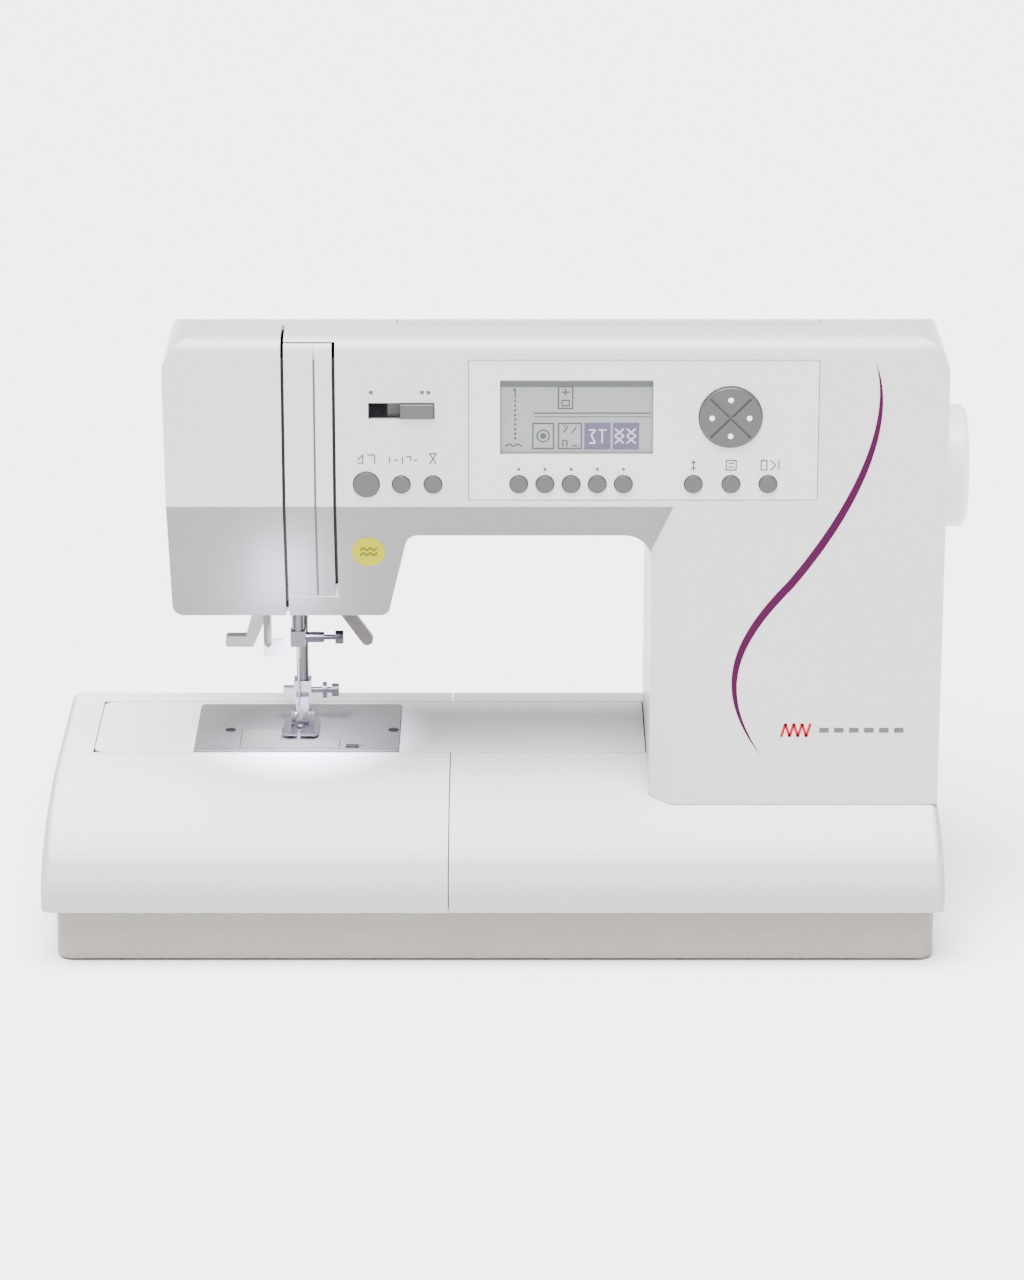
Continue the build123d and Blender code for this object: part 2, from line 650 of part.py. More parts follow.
# ================================================================ chassis
with BuildPart() as machine_frame:
    block(FRAME_X, (FRAME_FRONT, FRAME_BACK[1]), (FRAME_Z[0], FRAME_Z[0] + FRAME_FOOT_T))
    block(FRAME_X, FRAME_BACK, FRAME_Z)
    for side_x in (FRAME_X[0], FRAME_X[1] - FRAME_T):
        block((side_x, side_x + FRAME_T), (CHEEK_FRONT, FRAME_BACK[0]), FRAME_Z)
    block(
        (FRAME_X[0], MOTOR_X[0]),
        (MOTOR_Y - MOTOR_R - 1, CHEEK_FRONT),
        (MOTOR_Z - MOTOR_R - 1, MOTOR_Z + MOTOR_R + 1),
    )
    block((HEAD_PLATE_X[0], FRAME_X[0]), BEAM_Y, BEAM_Z)
    block(HEAD_PLATE_X, BEAM_Y, HEAD_PLATE_Z)
    block(
        (HEAD_PLATE_X[1] - FRAME_T, HEAD_PLATE_X[1]),
        (SHAFT_Y - SHAFT_BOSS, BEAM_Y[0]),
        (SHAFT_Z - SHAFT_BOSS, SHAFT_Z + SHAFT_BOSS),
    )
    block(LOW_GUIDE_X, (NEEDLE_Y - GUIDE_RIM, BEAM_Y[0]), (HEAD_PLATE_Z[0], LOW_GUIDE_TOP))
    block(PRESSER_GUIDE_X, (PRESSER_Y - PRESSER_RIM, BEAM_Y[0]), PRESSER_GUIDE_Z)
    block(NEEDLE_GUIDE_X, (NEEDLE_Y - PRESSER_RIM, BEAM_Y[0]), NEEDLE_GUIDE_Z)
    block(
        TAKEUP_ARM_X,
        (TAKEUP_PIVOT[0] - TAKEUP_BOSS, BEAM_Y[0]),
        (TAKEUP_PIVOT[1] - TAKEUP_BOSS, TAKEUP_PIVOT[1] + TAKEUP_BOSS),
    )
    rod_x((TAKEUP_ARM_X[1], TAKEUP_X[1] + 0.6), TAKEUP_PIVOT[0], TAKEUP_PIVOT[1], PIVOT_R)
    block(
        (LIFT_PIVOT[0] - TAKEUP_BOSS, LIFT_PIVOT[0] + TAKEUP_BOSS),
        (BEAM_Y[0], BEAM_Y[0] + LIFT_LUG_T),
        (LIFT_PIVOT[1] - TAKEUP_BOSS, HEAD_PLATE_Z[0] + 0.5),
    )
    rod_y(LIFT_PIVOT[0], (LIFT_Y[0] - 1, BEAM_Y[0]), LIFT_PIVOT[1], PIVOT_R)
    block((ARM_X[0] + 7, FRAME_X[0]), BED_BEAM_Y, BED_BEAM_Z)
    block(HOOK_PLATE_X, (HOOK_Y - HOOK_R + 0.6, BED_BEAM_Y[0]), (BED_BEAM_Z[0], HOOK_PLATE_TOP))
    for bearing_x in BEARING_X:
        block(
            (bearing_x, bearing_x + FRAME_T),
            (LOWER_Y - LOWER_BOSS, BED_BEAM_Y[0]),
            (HOOK_PLATE_TOP, BED_BEAM_Z[1]),
        )
    block(
        (HOOK_X - LOWER_GEAR_R - 1, HOOK_X + LOWER_GEAR_R + 1),
        (LOWER_Y - LOWER_GEAR_R - 2, LOWER_Y + LOWER_GEAR_R + 2),
        (BED_BEAM_Z[0] - 1, HOOK_PLATE_TOP + 0.1),
        mode=Mode.SUBTRACT,
    )
    shaft_bore_x = (HEAD_PLATE_X[1] - FRAME_T - 1, FRAME_X[1] + 1)
    rod_x(shaft_bore_x, SHAFT_Y, SHAFT_Z, SHAFT_R + RUN, mode=Mode.SUBTRACT)
    rod_x(
        (BEARING_X[0] - 1, FRAME_X[1] - FRAME_T + 1),
        LOWER_Y,
        LOWER_Z,
        LOWER_R + RUN,
        mode=Mode.SUBTRACT,
    )
    rod_z(NEEDLE_X, NEEDLE_Y, (HEAD_BOTTOM, FRAME_Z[1]), BAR_R + RUN, mode=Mode.SUBTRACT)
    rod_z(PRESSER_X, PRESSER_Y, (HEAD_BOTTOM, PRESSER_Z[1] + 2), BAR_R + RUN, mode=Mode.SUBTRACT)
    hook_bore_z = (BED_BEAM_Z[0] - 1, HOOK_PLATE_TOP + 1)
    rod_z(HOOK_X, HOOK_Y, hook_bore_z, HOOK_SHAFT_R + RUN, mode=Mode.SUBTRACT)
machine_frame.part.label = "machine_frame"
export_step(machine_frame.part, "parts/machine_frame.step")

# ================================================================ drive train
with BuildPart() as main_shaft:
    rod_x((CRANK_X[0], WHEEL_X[1] - WHEEL_CAP), SHAFT_Y, SHAFT_Z, SHAFT_R)
main_shaft.part.label = "main_shaft"
export_step(main_shaft.part, "parts/main_shaft.step")

with BuildPart() as crank_disc:
    rod_x(CRANK_X, SHAFT_Y, SHAFT_Z, CRANK_R)
    rod_x((ROD_X[0] - 0.2, CRANK_X[0]), SHAFT_Y, SHAFT_Z + CRANK_THROW, CRANK_PIN_R)
    rod_x((CRANK_X[0] - 1, CRANK_X[1] + 1), SHAFT_Y, SHAFT_Z, SHAFT_R, mode=Mode.SUBTRACT)
crank_disc.part.label = "crank_disc"
export_step(crank_disc.part, "parts/crank_disc.step")

with BuildPart() as drive_pulleys:
    rod_x((TIMING_X[0], DRIVE_X[0]), SHAFT_Y, SHAFT_Z, PULLEY_R)
    rod_x(DRIVE_X, SHAFT_Y, SHAFT_Z, DRIVE_R)
    rod_x((TIMING_X[0] - 1, DRIVE_X[1] + 1), SHAFT_Y, SHAFT_Z, SHAFT_R, mode=Mode.SUBTRACT)
drive_pulleys.part.label = "drive_pulleys"
export_step(drive_pulleys.part, "parts/drive_pulleys.step")

with BuildPart() as handwheel:
    rod_x(WHEEL_X, SHAFT_Y, SHAFT_Z, WHEEL_R)
    fillet(handwheel.edges().group_by(Axis.X)[-1], radius=WHEEL_RIM_R)
    fillet(handwheel.edges().group_by(Axis.X)[0], radius=WHEEL_RIM_R / 2)
    rod_x((WHEEL_X[0] - 1, WHEEL_X[1] - WHEEL_CAP), SHAFT_Y, SHAFT_Z, SHAFT_R, mode=Mode.SUBTRACT)
handwheel.part.label = "handwheel"
export_step(handwheel.part, "parts/handwheel.step")

with BuildPart() as connecting_rod:
    top_z = SHAFT_Z + CRANK_THROW
    rod_x(ROD_X, SHAFT_Y, top_z, ROD_EYE_R)
    rod_x(ROD_X, SHAFT_Y, DRIVER_Z, ROD_EYE_R)
    block(ROD_X, (SHAFT_Y - 2.5, SHAFT_Y + 2.5), (DRIVER_Z, top_z))
    rod_x((ROD_X[0] - 1, ROD_X[1] + 1), SHAFT_Y, top_z, CRANK_PIN_R + RUN, mode=Mode.SUBTRACT)
    rod_x((ROD_X[0] - 1, ROD_X[1] + 1), SHAFT_Y, DRIVER_Z, DRIVER_PIN_R + RUN, mode=Mode.SUBTRACT)
connecting_rod.part.label = "connecting_rod"
export_step(connecting_rod.part, "parts/connecting_rod.step")

with BuildPart() as lower_shaft:
    rod_x(LOWER_X, LOWER_Y, LOWER_Z, LOWER_R)
    rod_x((HOOK_X - LOWER_GEAR_R + 1, HOOK_X + LOWER_GEAR_R - 1), LOWER_Y, LOWER_Z, LOWER_GEAR_R)
lower_shaft.part.label = "lower_shaft"
export_step(lower_shaft.part, "parts/lower_shaft.step")

with BuildPart() as lower_pulley:
    rod_x(TIMING_X, LOWER_Y, LOWER_Z, PULLEY_R)
    rod_x((TIMING_X[0] - 1, TIMING_X[1] + 1), LOWER_Y, LOWER_Z, LOWER_R, mode=Mode.SUBTRACT)
lower_pulley.part.label = "lower_pulley"
export_step(lower_pulley.part, "parts/lower_pulley.step")


def belt(xs, a, ra, b, rb):
    """Closed belt round two circles a and b in the YZ plane."""
    with BuildPart() as loop:
        with BuildSketch(Plane.YZ.offset(xs[0])):
            with Locations(a):
                Circle(ra + BELT_LIFT + BELT_T)
            with Locations(b):
                Circle(rb + BELT_LIFT + BELT_T)
            make_hull()
        extrude(amount=xs[1] - xs[0])
        with BuildSketch(Plane.YZ.offset(xs[0])):
            with Locations(a):
                Circle(ra + BELT_LIFT)
            with Locations(b):
                Circle(rb + BELT_LIFT)
            make_hull()
        extrude(amount=xs[1] - xs[0], mode=Mode.SUBTRACT)
    return loop.part


upper_centre = (SHAFT_Y, SHAFT_Z)
with BuildPart() as timing_belt:
    add(belt((TIMING_X[0] + 1, TIMING_X[1] - 1), upper_centre, PULLEY_R, (LOWER_Y, LOWER_Z), PULLEY_R))
timing_belt.part.label = "timing_belt"
export_step(timing_belt.part, "parts/timing_belt.step")

with BuildPart() as motor_belt:
    add(belt((DRIVE_X[0] + 2, DRIVE_X[1] - 2), upper_centre, DRIVE_R, (MOTOR_Y, MOTOR_Z), MOTOR_PULLEY_R))
motor_belt.part.label = "motor_belt"
export_step(motor_belt.part, "parts/motor_belt.step")

with BuildPart() as drive_motor:
    rod_x(MOTOR_X, MOTOR_Y, MOTOR_Z, MOTOR_R)
    fillet(drive_motor.edges().group_by(Axis.X)[-1], radius=MOTOR_EDGE_R)
    motor_bore_x = (MOTOR_X[1] - MOTOR_BORE - 1, MOTOR_X[1] + 1)
    rod_x(motor_bore_x, MOTOR_Y, MOTOR_Z, MOTOR_SHAFT_R + RUN, mode=Mode.SUBTRACT)
drive_motor.part.label = "drive_motor"
export_step(drive_motor.part, "parts/drive_motor.step")

with BuildPart() as motor_pulley:
    rod_x((MOTOR_X[1] - MOTOR_BORE, DRIVE_X[1] + 4), MOTOR_Y, MOTOR_Z, MOTOR_SHAFT_R)
    rod_x(DRIVE_X, MOTOR_Y, MOTOR_Z, MOTOR_PULLEY_R)
motor_pulley.part.label = "motor_pulley"
export_step(motor_pulley.part, "parts/motor_pulley.step")

with BuildPart() as rotary_hook:
    rod_z(HOOK_X, HOOK_Y, (BED_BEAM_Z[0] + 0.2, HOOK_GEAR_Z[0]), HOOK_SHAFT_R)
    rod_z(HOOK_X, HOOK_Y, HOOK_GEAR_Z, HOOK_GEAR_R)
    rod_z(HOOK_X, HOOK_Y, (HOOK_GEAR_Z[1], HOOK_FLOOR[0]), HOOK_SHAFT_R)
    rod_z(HOOK_X, HOOK_Y, (HOOK_FLOOR[0], HOOK_TOP), HOOK_R)
    rod_z(HOOK_X, HOOK_Y, (HOOK_FLOOR[1], HOOK_TOP + 1), HOOK_R - HOOK_WALL, mode=Mode.SUBTRACT)
rotary_hook.part.label = "rotary_hook"
export_step(rotary_hook.part, "parts/rotary_hook.step")

with BuildPart() as bobbin_case:
    rod_z(HOOK_X, HOOK_Y, CASE_Z, CASE_R)
    rod_z(HOOK_X, HOOK_Y, (BOBBIN_Z[0] - 0.3, CASE_Z[1] + 1), CASE_BORE, mode=Mode.SUBTRACT)
bobbin_case.part.label = "bobbin_case"
export_step(bobbin_case.part, "parts/bobbin_case.step")

with BuildPart() as bobbin:
    rod_z(HOOK_X, HOOK_Y, (BOBBIN_Z[0], BOBBIN_Z[0] + BOBBIN_FLANGE), BOBBIN_R)
    rod_z(HOOK_X, HOOK_Y, BOBBIN_Z, BOBBIN_HUB_R)
    rod_z(HOOK_X, HOOK_Y, (BOBBIN_Z[1] - BOBBIN_FLANGE, BOBBIN_Z[1]), BOBBIN_R)
    rod_z(HOOK_X, HOOK_Y, (BOBBIN_Z[0] - 1, BOBBIN_Z[1] + 1), BOBBIN_BORE_R, mode=Mode.SUBTRACT)
bobbin.part.label = "bobbin"
export_step(bobbin.part, "parts/bobbin.step")

# ================================================================ plate and feed
with BuildPart() as needle_plate:
    block(PLATE_X, PLATE_Y, PLATE_Z)
    fillet(needle_plate.edges().filter_by(Axis.Z), radius=2)
    through = (PLATE_Z[0] - 1, PLATE_Z[1] + 1)
    block(
        (COVER_X[0] - 0.3, COVER_X[1] + 0.3),
        (COVER_Y[0] - 0.3, COVER_Y[1] + 0.3),
        through,
        mode=Mode.SUBTRACT,
    )
    block(
        (COVER_X[1], STRIP_X + 0.3),
        (COVER_Y[0] - 0.3, STRIP_Y + 0.3),
        through,
        mode=Mode.SUBTRACT,
    )
    block(
        (STRIP_X + 3.2, STRIP_X + 13),
        (LATCH_Y[0] - 0.3, LATCH_Y[1] + 0.3),
        (PLATE_Z[0] + 0.8, through[1]),
        mode=Mode.SUBTRACT,
    )
    block((NEEDLE_X - 2.7, NEEDLE_X + 2.7), (NEEDLE_Y - 1.1, NEEDLE_Y + 1.1), through, mode=Mode.SUBTRACT)
    for x in ROW_LEFT:
        block((x - GAP, x + ROW_W + GAP), (ROW_Y[0] - 1, ROW_Y[1] + 1), through, mode=Mode.SUBTRACT)
    for x, y in SCREW_POS:
        rod_z(x, y, through, SCREW_R / 2, mode=Mode.SUBTRACT)
        rod_z(x, y, (PLATE_Z[1] - SCREW_SINK, through[1]), SCREW_R, mode=Mode.SUBTRACT)
needle_plate.part.label = "needle_plate"
export_step(needle_plate.part, "parts/needle_plate.step")

with BuildPart() as plate_screws:
    for x, y in SCREW_POS:
        rod_z(x, y, (PLATE_Z[1] - SCREW_SINK, PLATE_Z[1] + SCREW_PROUD), SCREW_R)
        rod_z(x, y, (PLATE_Z[0], PLATE_Z[1] - SCREW_SINK), SCREW_R / 2)
        block(
            (x - SCREW_R, x + SCREW_R),
            (y - SCREW_SLOT / 2, y + SCREW_SLOT / 2),
            (PLATE_Z[1] + SCREW_PROUD - SCREW_SLOT, PLATE_Z[1] + 1),
            mode=Mode.SUBTRACT,
        )
plate_screws.part.label = "plate_screws"
export_step(plate_screws.part, "parts/plate_screws.step")

with BuildPart() as bobbin_cover:
    block(COVER_X, COVER_Y, (PLATE_Z[0] + 0.2, PLATE_Z[1]))
    block((COVER_X[1], STRIP_X), (COVER_Y[0], STRIP_Y), (PLATE_Z[0] + 0.2, PLATE_Z[1]))
bobbin_cover.part.label = "bobbin_cover"
export_step(bobbin_cover.part, "parts/bobbin_cover.step")

with BuildPart() as cover_latch:
    block((STRIP_X + 3.5, STRIP_X + 9.5), LATCH_Y, (PLATE_Z[0] + 1.1, PLATE_Z[1] + 0.6))
cover_latch.part.label = "cover_latch"
export_step(cover_latch.part, "parts/cover_latch.step")

with BuildPart() as feed_dog:
    row_end = ROW_LEFT[1] + ROW_W
    for x in ROW_LEFT:
        block((x, x + ROW_W), ROW_Y, (ROW_Z[0], ROW_Z[1] - TOOTH_H))
        for i in range(TEETH):
            y = ROW_Y[0] + i * (ROW_Y[1] - ROW_Y[0]) / TEETH
            block((x, x + ROW_W), (y, y + TOOTH_H), (ROW_Z[1] - TOOTH_H, ROW_Z[1]))
    block((ROW_LEFT[0], row_end), (ROW_Y[1], FEED_ARM_BACK), (ROW_Z[0], ROW_Z[0] + FEED_ARM_T))
    block(FEED_STEM_X, FEED_STEM_Y, (FEED_STEM_Z, ROW_Z[0]))
feed_dog.part.label = "feed_dog"
export_step(feed_dog.part, "parts/feed_dog.step")

# ================================================================ needle side
with BuildPart() as needle_bar:
    rod_z(NEEDLE_X, NEEDLE_Y, BAR_Z, BAR_R)
    block(
        (NEEDLE_X - CLAMP_HALF, NEEDLE_X + CLAMP_HALF),
        (NEEDLE_Y - CLAMP_HALF, NEEDLE_Y + CLAMP_HALF),
        CLAMP_Z,
    )
    block(
        (NEEDLE_X - DRIVER_HALF, ROD_X[0] - DRIVER_GAP),
        (NEEDLE_Y - DRIVER_HALF, NEEDLE_Y + DRIVER_HALF),
        (DRIVER_Z - DRIVER_HALF, DRIVER_Z + DRIVER_HALF),
    )
    rod_x((ROD_X[0] - DRIVER_GAP, ROD_X[0] - RUN * 10), NEEDLE_Y, DRIVER_Z, DRIVER_PIN_R)
    rod_z(NEEDLE_X, NEEDLE_Y, (CLAMP_Z[0] - 1, SHANK_TOP + 1), SHANK_R, mode=Mode.SUBTRACT)
    rod_x((NEEDLE_X, NEEDLE_X + 6), NEEDLE_Y, CLAMP_SCREW_Z, CLAMP_SCREW_R, mode=Mode.SUBTRACT)
needle_bar.part.label = "needle_bar"
export_step(needle_bar.part, "parts/needle_bar.step")

with BuildPart() as needle:
    rod_z(NEEDLE_X, NEEDLE_Y, (NEEDLE_TIP + POINT_LENGTH, SHANK_BOTTOM), NEEDLE_R)
    rod_z(NEEDLE_X, NEEDLE_Y, (SHANK_BOTTOM, SHANK_TOP), SHANK_R)
    with Locations((NEEDLE_X, NEEDLE_Y, NEEDLE_TIP + POINT_LENGTH / 2)):
        Cone(POINT_R, NEEDLE_R, POINT_LENGTH)
    rod_y(
        NEEDLE_X,
        (NEEDLE_Y - 1, NEEDLE_Y + 1),
        NEEDLE_TIP + POINT_LENGTH + 2,
        NEEDLE_EYE_R,
        mode=Mode.SUBTRACT,
    )
needle.part.label = "needle"
export_step(needle.part, "parts/needle.step")

with BuildPart() as clamp_screw:
    neck_x = (NEEDLE_X + CLAMP_HALF + 0.4, NEEDLE_X + 13)
    rod_x((NEEDLE_X + SHANK_R, neck_x[0]), NEEDLE_Y, CLAMP_SCREW_Z, CLAMP_SCREW_R)
    rod_x(neck_x, NEEDLE_Y, CLAMP_SCREW_Z, 2 * CLAMP_SCREW_R)
    rod_x((neck_x[1], CLAMP_HEAD_X[0]), NEEDLE_Y, CLAMP_SCREW_Z, CLAMP_SCREW_R)
    rod_x(CLAMP_HEAD_X, NEEDLE_Y, CLAMP_SCREW_Z, CLAMP_HEAD_R)
clamp_screw.part.label = "clamp_screw"
export_step(clamp_screw.part, "parts/clamp_screw.step")

with BuildPart() as take_up_lever:
    py, pz = TAKEUP_PIVOT
    reach = TAKEUP_LENGTH * math.sqrt(0.5)
    rod_x(TAKEUP_X, py, pz, TAKEUP_HUB_R)
    with BuildSketch(Plane.YZ.offset(TAKEUP_X[0])):
        with Locations((py - reach / 2, pz + reach / 2)):
            SlotCenterToCenter(TAKEUP_LENGTH, TAKEUP_W, rotation=135)
    extrude(amount=TAKEUP_X[1] - TAKEUP_X[0])
    rod_x((TAKEUP_X[0] - 1, TAKEUP_X[1] + 1), py, pz, PIVOT_R + RUN, mode=Mode.SUBTRACT)
    rod_x((TAKEUP_X[0] - 1, TAKEUP_X[1] + 1), py - reach, pz + reach, THREAD_EYE_R, mode=Mode.SUBTRACT)
take_up_lever.part.label = "take_up_lever"
export_step(take_up_lever.part, "parts/take_up_lever.step")

with BuildPart() as presser_bar:
    rod_z(PRESSER_X, PRESSER_Y, PRESSER_Z, BAR_R)
presser_bar.part.label = "presser_bar"
export_step(presser_bar.part, "parts/presser_bar.step")

with BuildPart() as foot_holder:
    block(
        (PRESSER_X - HOLDER_HALF, PRESSER_X + HOLDER_HALF),
        (PRESSER_Y - HOLDER_HALF, PRESSER_Y + HOLDER_HALF),
        HOLDER_Z,
    )
    block(
        (PRESSER_X - SHANK_HALF, PRESSER_X + SHANK_HALF),
        (FOOT_PIN[0] - 3, PRESSER_Y),
        (FOOT_PIN[1] - 2, HOLDER_Z[0] + 4),
    )
    block((THREAD_HOOK_X, PRESSER_X - BAR_R), (PRESSER_Y - 4, PRESSER_Y), THREAD_HOOK_Z)
    rod_z(PRESSER_X, PRESSER_Y, (PRESSER_Z[0], HOLDER_Z[1] + 1), BAR_R, mode=Mode.SUBTRACT)
    rod_x(
        (PRESSER_X - 6, PRESSER_X + 6),
        FOOT_PIN[0],
        FOOT_PIN[1],
        FOOT_PIN_R + RUN,
        mode=Mode.SUBTRACT,
    )
    screw_bore_x = (PRESSER_X + BAR_R - 0.5, PRESSER_X + 6)
    rod_x(screw_bore_x, PRESSER_Y, FOOT_SCREW_Z, FOOT_SCREW_R, mode=Mode.SUBTRACT)
foot_holder.part.label = "foot_holder"
export_step(foot_holder.part, "parts/foot_holder.step")

with BuildPart() as foot_screw:
    rod_x((PRESSER_X + BAR_R, FOOT_KNOB_X[0]), PRESSER_Y, FOOT_SCREW_Z, FOOT_SCREW_R)
    rod_x(FOOT_COLLAR_X, PRESSER_Y, FOOT_SCREW_Z, FOOT_COLLAR_R)
    rod_x(FOOT_KNOB_X, PRESSER_Y, FOOT_SCREW_Z, FOOT_KNOB_R)
foot_screw.part.label = "foot_screw"
export_step(foot_screw.part, "parts/foot_screw.step")

with BuildPart() as presser_foot:
    block(FOOT_X, FOOT_Y, FOOT_Z)
    fillet(presser_foot.edges().filter_by(Axis.Z), radius=FOOT_CORNER_R)
    fillet(presser_foot.edges().group_by(Axis.Y)[0].group_by(Axis.Z)[0], radius=FOOT_TOE_R)
    through = (FOOT_Z[0] - 1, FOOT_Z[1] + 1)
    needle_hole = (NEEDLE_X - FOOT_HOLE_HALF, NEEDLE_X + FOOT_HOLE_HALF)
    thread_slit = (NEEDLE_X - FOOT_SLIT_HALF, NEEDLE_X + FOOT_SLIT_HALF)
    block(needle_hole, FOOT_HOLE_Y, through, mode=Mode.SUBTRACT)
    block(thread_slit, (FOOT_Y[0] - 1, FOOT_HOLE_Y[0] + 0.5), through, mode=Mode.SUBTRACT)
    for side in (-1, 1):
        inner_x = PRESSER_X + side * (SHANK_HALF + GAP)
        outer_x = inner_x + side * FOOT_EAR_T
        block((min(inner_x, outer_x), max(inner_x, outer_x)), FOOT_EAR_Y, (FOOT_Z[1], FOOT_EAR_TOP))
    pin_reach = SHANK_HALF + GAP + 0.1
    rod_x((PRESSER_X - pin_reach, PRESSER_X + pin_reach), FOOT_PIN[0], FOOT_PIN[1], FOOT_PIN_R)
presser_foot.part.label = "presser_foot"
export_step(presser_foot.part, "parts/presser_foot.step")

with BuildPart() as presser_lifter:
    px, pz = LIFT_PIVOT
    tx, tz = LIFT_TIP
    rod_y(px, LIFT_Y, pz, LIFT_HUB_R)
    with BuildSketch(Plane.XZ.offset(-LIFT_Y[1])):
        with Locations(((px + tx) / 2, (pz + tz) / 2)):
            SlotCenterToCenter(
                math.hypot(tx - px, tz - pz),
                LIFT_W,
                rotation=math.degrees(math.atan2(tz - pz, tx - px)),
            )
    extrude(amount=LIFT_Y[1] - LIFT_Y[0])
    rod_y(px, (LIFT_Y[0] - 1, LIFT_Y[1] + 1), pz, PIVOT_R + RUN, mode=Mode.SUBTRACT)
presser_lifter.part.label = "presser_lifter"
export_step(presser_lifter.part, "parts/presser_lifter.step")

with BuildPart() as needle_threader:
    with BuildSketch(Plane.XZ.offset(-THREADER_Y[1])) as lever:
        with BuildLine():
            Polyline(*THREADER_OUTLINE, close=True)
        make_face()
        fillet(lever.vertices().group_by(Axis.X)[0], radius=THREADER_ROUND)
    extrude(amount=THREADER_Y[1] - THREADER_Y[0])
    rod_z(THREADER_STEM[0], THREADER_STEM[1], THREADER_STEM_Z, THREADER_STEM_R)
    block(THREADER_LEG_X, (THREADER_Y[0] + 1, FORK_Y[1]), THREADER_LEG_Z)
    block(FORK_X, FORK_Y, FORK_Z)
    rod_x((FORK_X[1] - 0.2, FORK_X[1] + 1), (FORK_Y[0] + FORK_Y[1]) / 2, FORK_Z[0] + 2, FORK_HOOK_R)
needle_threader.part.label = "needle_threader"
export_step(needle_threader.part, "parts/needle_threader.step")

with BuildPart() as lamp_lens:
    block(
        (LENS_X[0] + GAP, LENS_X[1] - GAP),
        (LENS_Y[0] + GAP, LENS_Y[1] - GAP),
        (HEAD_BOTTOM + 0.3, HEAD_BOTTOM + WALL + 1),
    )
    block(
        (LENS_X[0] - 2, LENS_X[1] + 2),
        (LENS_Y[0] - 2, LENS_Y[1] + 2),
        (HEAD_BOTTOM + WALL, HEAD_BOTTOM + WALL + 1.5),
    )
lamp_lens.part.label = "lamp_lens"
export_step(lamp_lens.part, "parts/lamp_lens.step")

# ================================================================ controls
FLANGE_Y = (BODY_FRONT + WALL + 1.8, BODY_FRONT + WALL + 3.6)
KEY_FACE = BODY_FRONT - 1.0
PAD_FACE = KEY_FACE - 0.6
FLANGE_W = 1.1
PAD_EDGE_R = 1.2
PAD_GROOVE = 0.8
PAD_GROOVE_W = 1.1
KEY_EDGE_R = 0.6
KNOB_PROUD = 2.0

with BuildPart() as control_panel:
    block(
        (PANEL_X[0] + PANEL_FIT, PANEL_X[1] - PANEL_FIT),
        (BODY_FRONT + 0.4, BODY_FRONT + WALL),
        (PANEL_Z[0] + PANEL_FIT, PANEL_Z[1] - PANEL_FIT),
    )
    block(LCD_X, (BODY_FRONT - 1, BODY_FRONT + 5), LCD_Z, mode=Mode.SUBTRACT)
    for x in SOFT_X + FUNCTION_X:
        rod_y(x, (BODY_FRONT - 1, BODY_FRONT + 5), KEY_Z, KEY_R + KEY_FIT, mode=Mode.SUBTRACT)
    rod_y(PAD_POS[0], (BODY_FRONT - 1, BODY_FRONT + 5), PAD_POS[1], PAD_R + KEY_FIT, mode=Mode.SUBTRACT)
control_panel.part.label = "control_panel"
export_step(control_panel.part, "parts/control_panel.step")

with BuildPart() as lcd_window:
    block(
        (LCD_X[0] + PANEL_FIT, LCD_X[1] - PANEL_FIT),
        (BODY_FRONT + 0.9, BODY_FRONT + WALL - 0.1),
        (LCD_Z[0] + PANEL_FIT, LCD_Z[1] - PANEL_FIT),
    )
lcd_window.part.label = "lcd_window"
export_step(lcd_window.part, "parts/lcd_window.step")

with BuildPart() as display_board:
    block((LCD_X[0] - 1, LCD_X[1] + 1), GLASS_Y, (LCD_Z[0] - 1.5, LCD_Z[1] + 2))
    block(LCD_X, (GLASS_Y[1], BOARD_Y[0]), (LCD_Z[0] + 10, LCD_Z[1] - 5))
    block((PANEL_X[0] + 3, PANEL_X[1] - 3), BOARD_Y, (PANEL_Z[0] + 2, PANEL_Z[1] - 2))
    block(SOCKET_X, (BOARD_Y[1], BOARD_Y[1] + SOCKET_T), SOCKET_Z)
display_board.part.label = "display_board"
export_step(display_board.part, "parts/display_board.step")


def key_at(x, z, r):
    """Round key cap with a retaining flange behind the panel."""
    with BuildPart() as key:
        rod_y(x, (KEY_FACE, FLANGE_Y[1]), z, r)
        fillet(key.edges().group_by(Axis.Y)[0], radius=KEY_EDGE_R)
        rod_y(x, FLANGE_Y, z, r + FLANGE_W)
    return key.part


key_table = [("soft_key_%d" % (i + 1), x, KEY_Z, KEY_R) for i, x in enumerate(SOFT_X)]
key_table += [("function_key_%d" % (i + 1), x, KEY_Z, KEY_R) for i, x in enumerate(FUNCTION_X)]
key_table.append(("start_stop_key", START_POS[0], KEY_Z, START_POS[1]))
key_table.append(("reverse_key", REVERSE_POS[0], KEY_Z, REVERSE_POS[1]))
key_table.append(("needle_position_key", NEEDLE_KEY_POS[0], KEY_Z, NEEDLE_KEY_POS[1]))
for key_name, x, z, r in key_table:
    key_cap = key_at(x, z, r)
    key_cap.label = key_name
    export_step(key_cap, "parts/" + key_name + ".step")

with BuildPart() as direction_pad:
    rod_y(PAD_POS[0], (PAD_FACE, FLANGE_Y[1]), PAD_POS[1], PAD_R)
    fillet(direction_pad.edges().group_by(Axis.Y)[0], radius=PAD_EDGE_R)
    rod_y(PAD_POS[0], FLANGE_Y, PAD_POS[1], PAD_R + FLANGE_W)
    for turn in (45, 135):
        with Locations(Location((PAD_POS[0], PAD_FACE, PAD_POS[1]), (0, turn, 0))):
            Box(2 * PAD_R - 3, 2 * PAD_GROOVE, PAD_GROOVE_W, mode=Mode.SUBTRACT)
direction_pad.part.label = "direction_pad"
export_step(direction_pad.part, "parts/direction_pad.step")

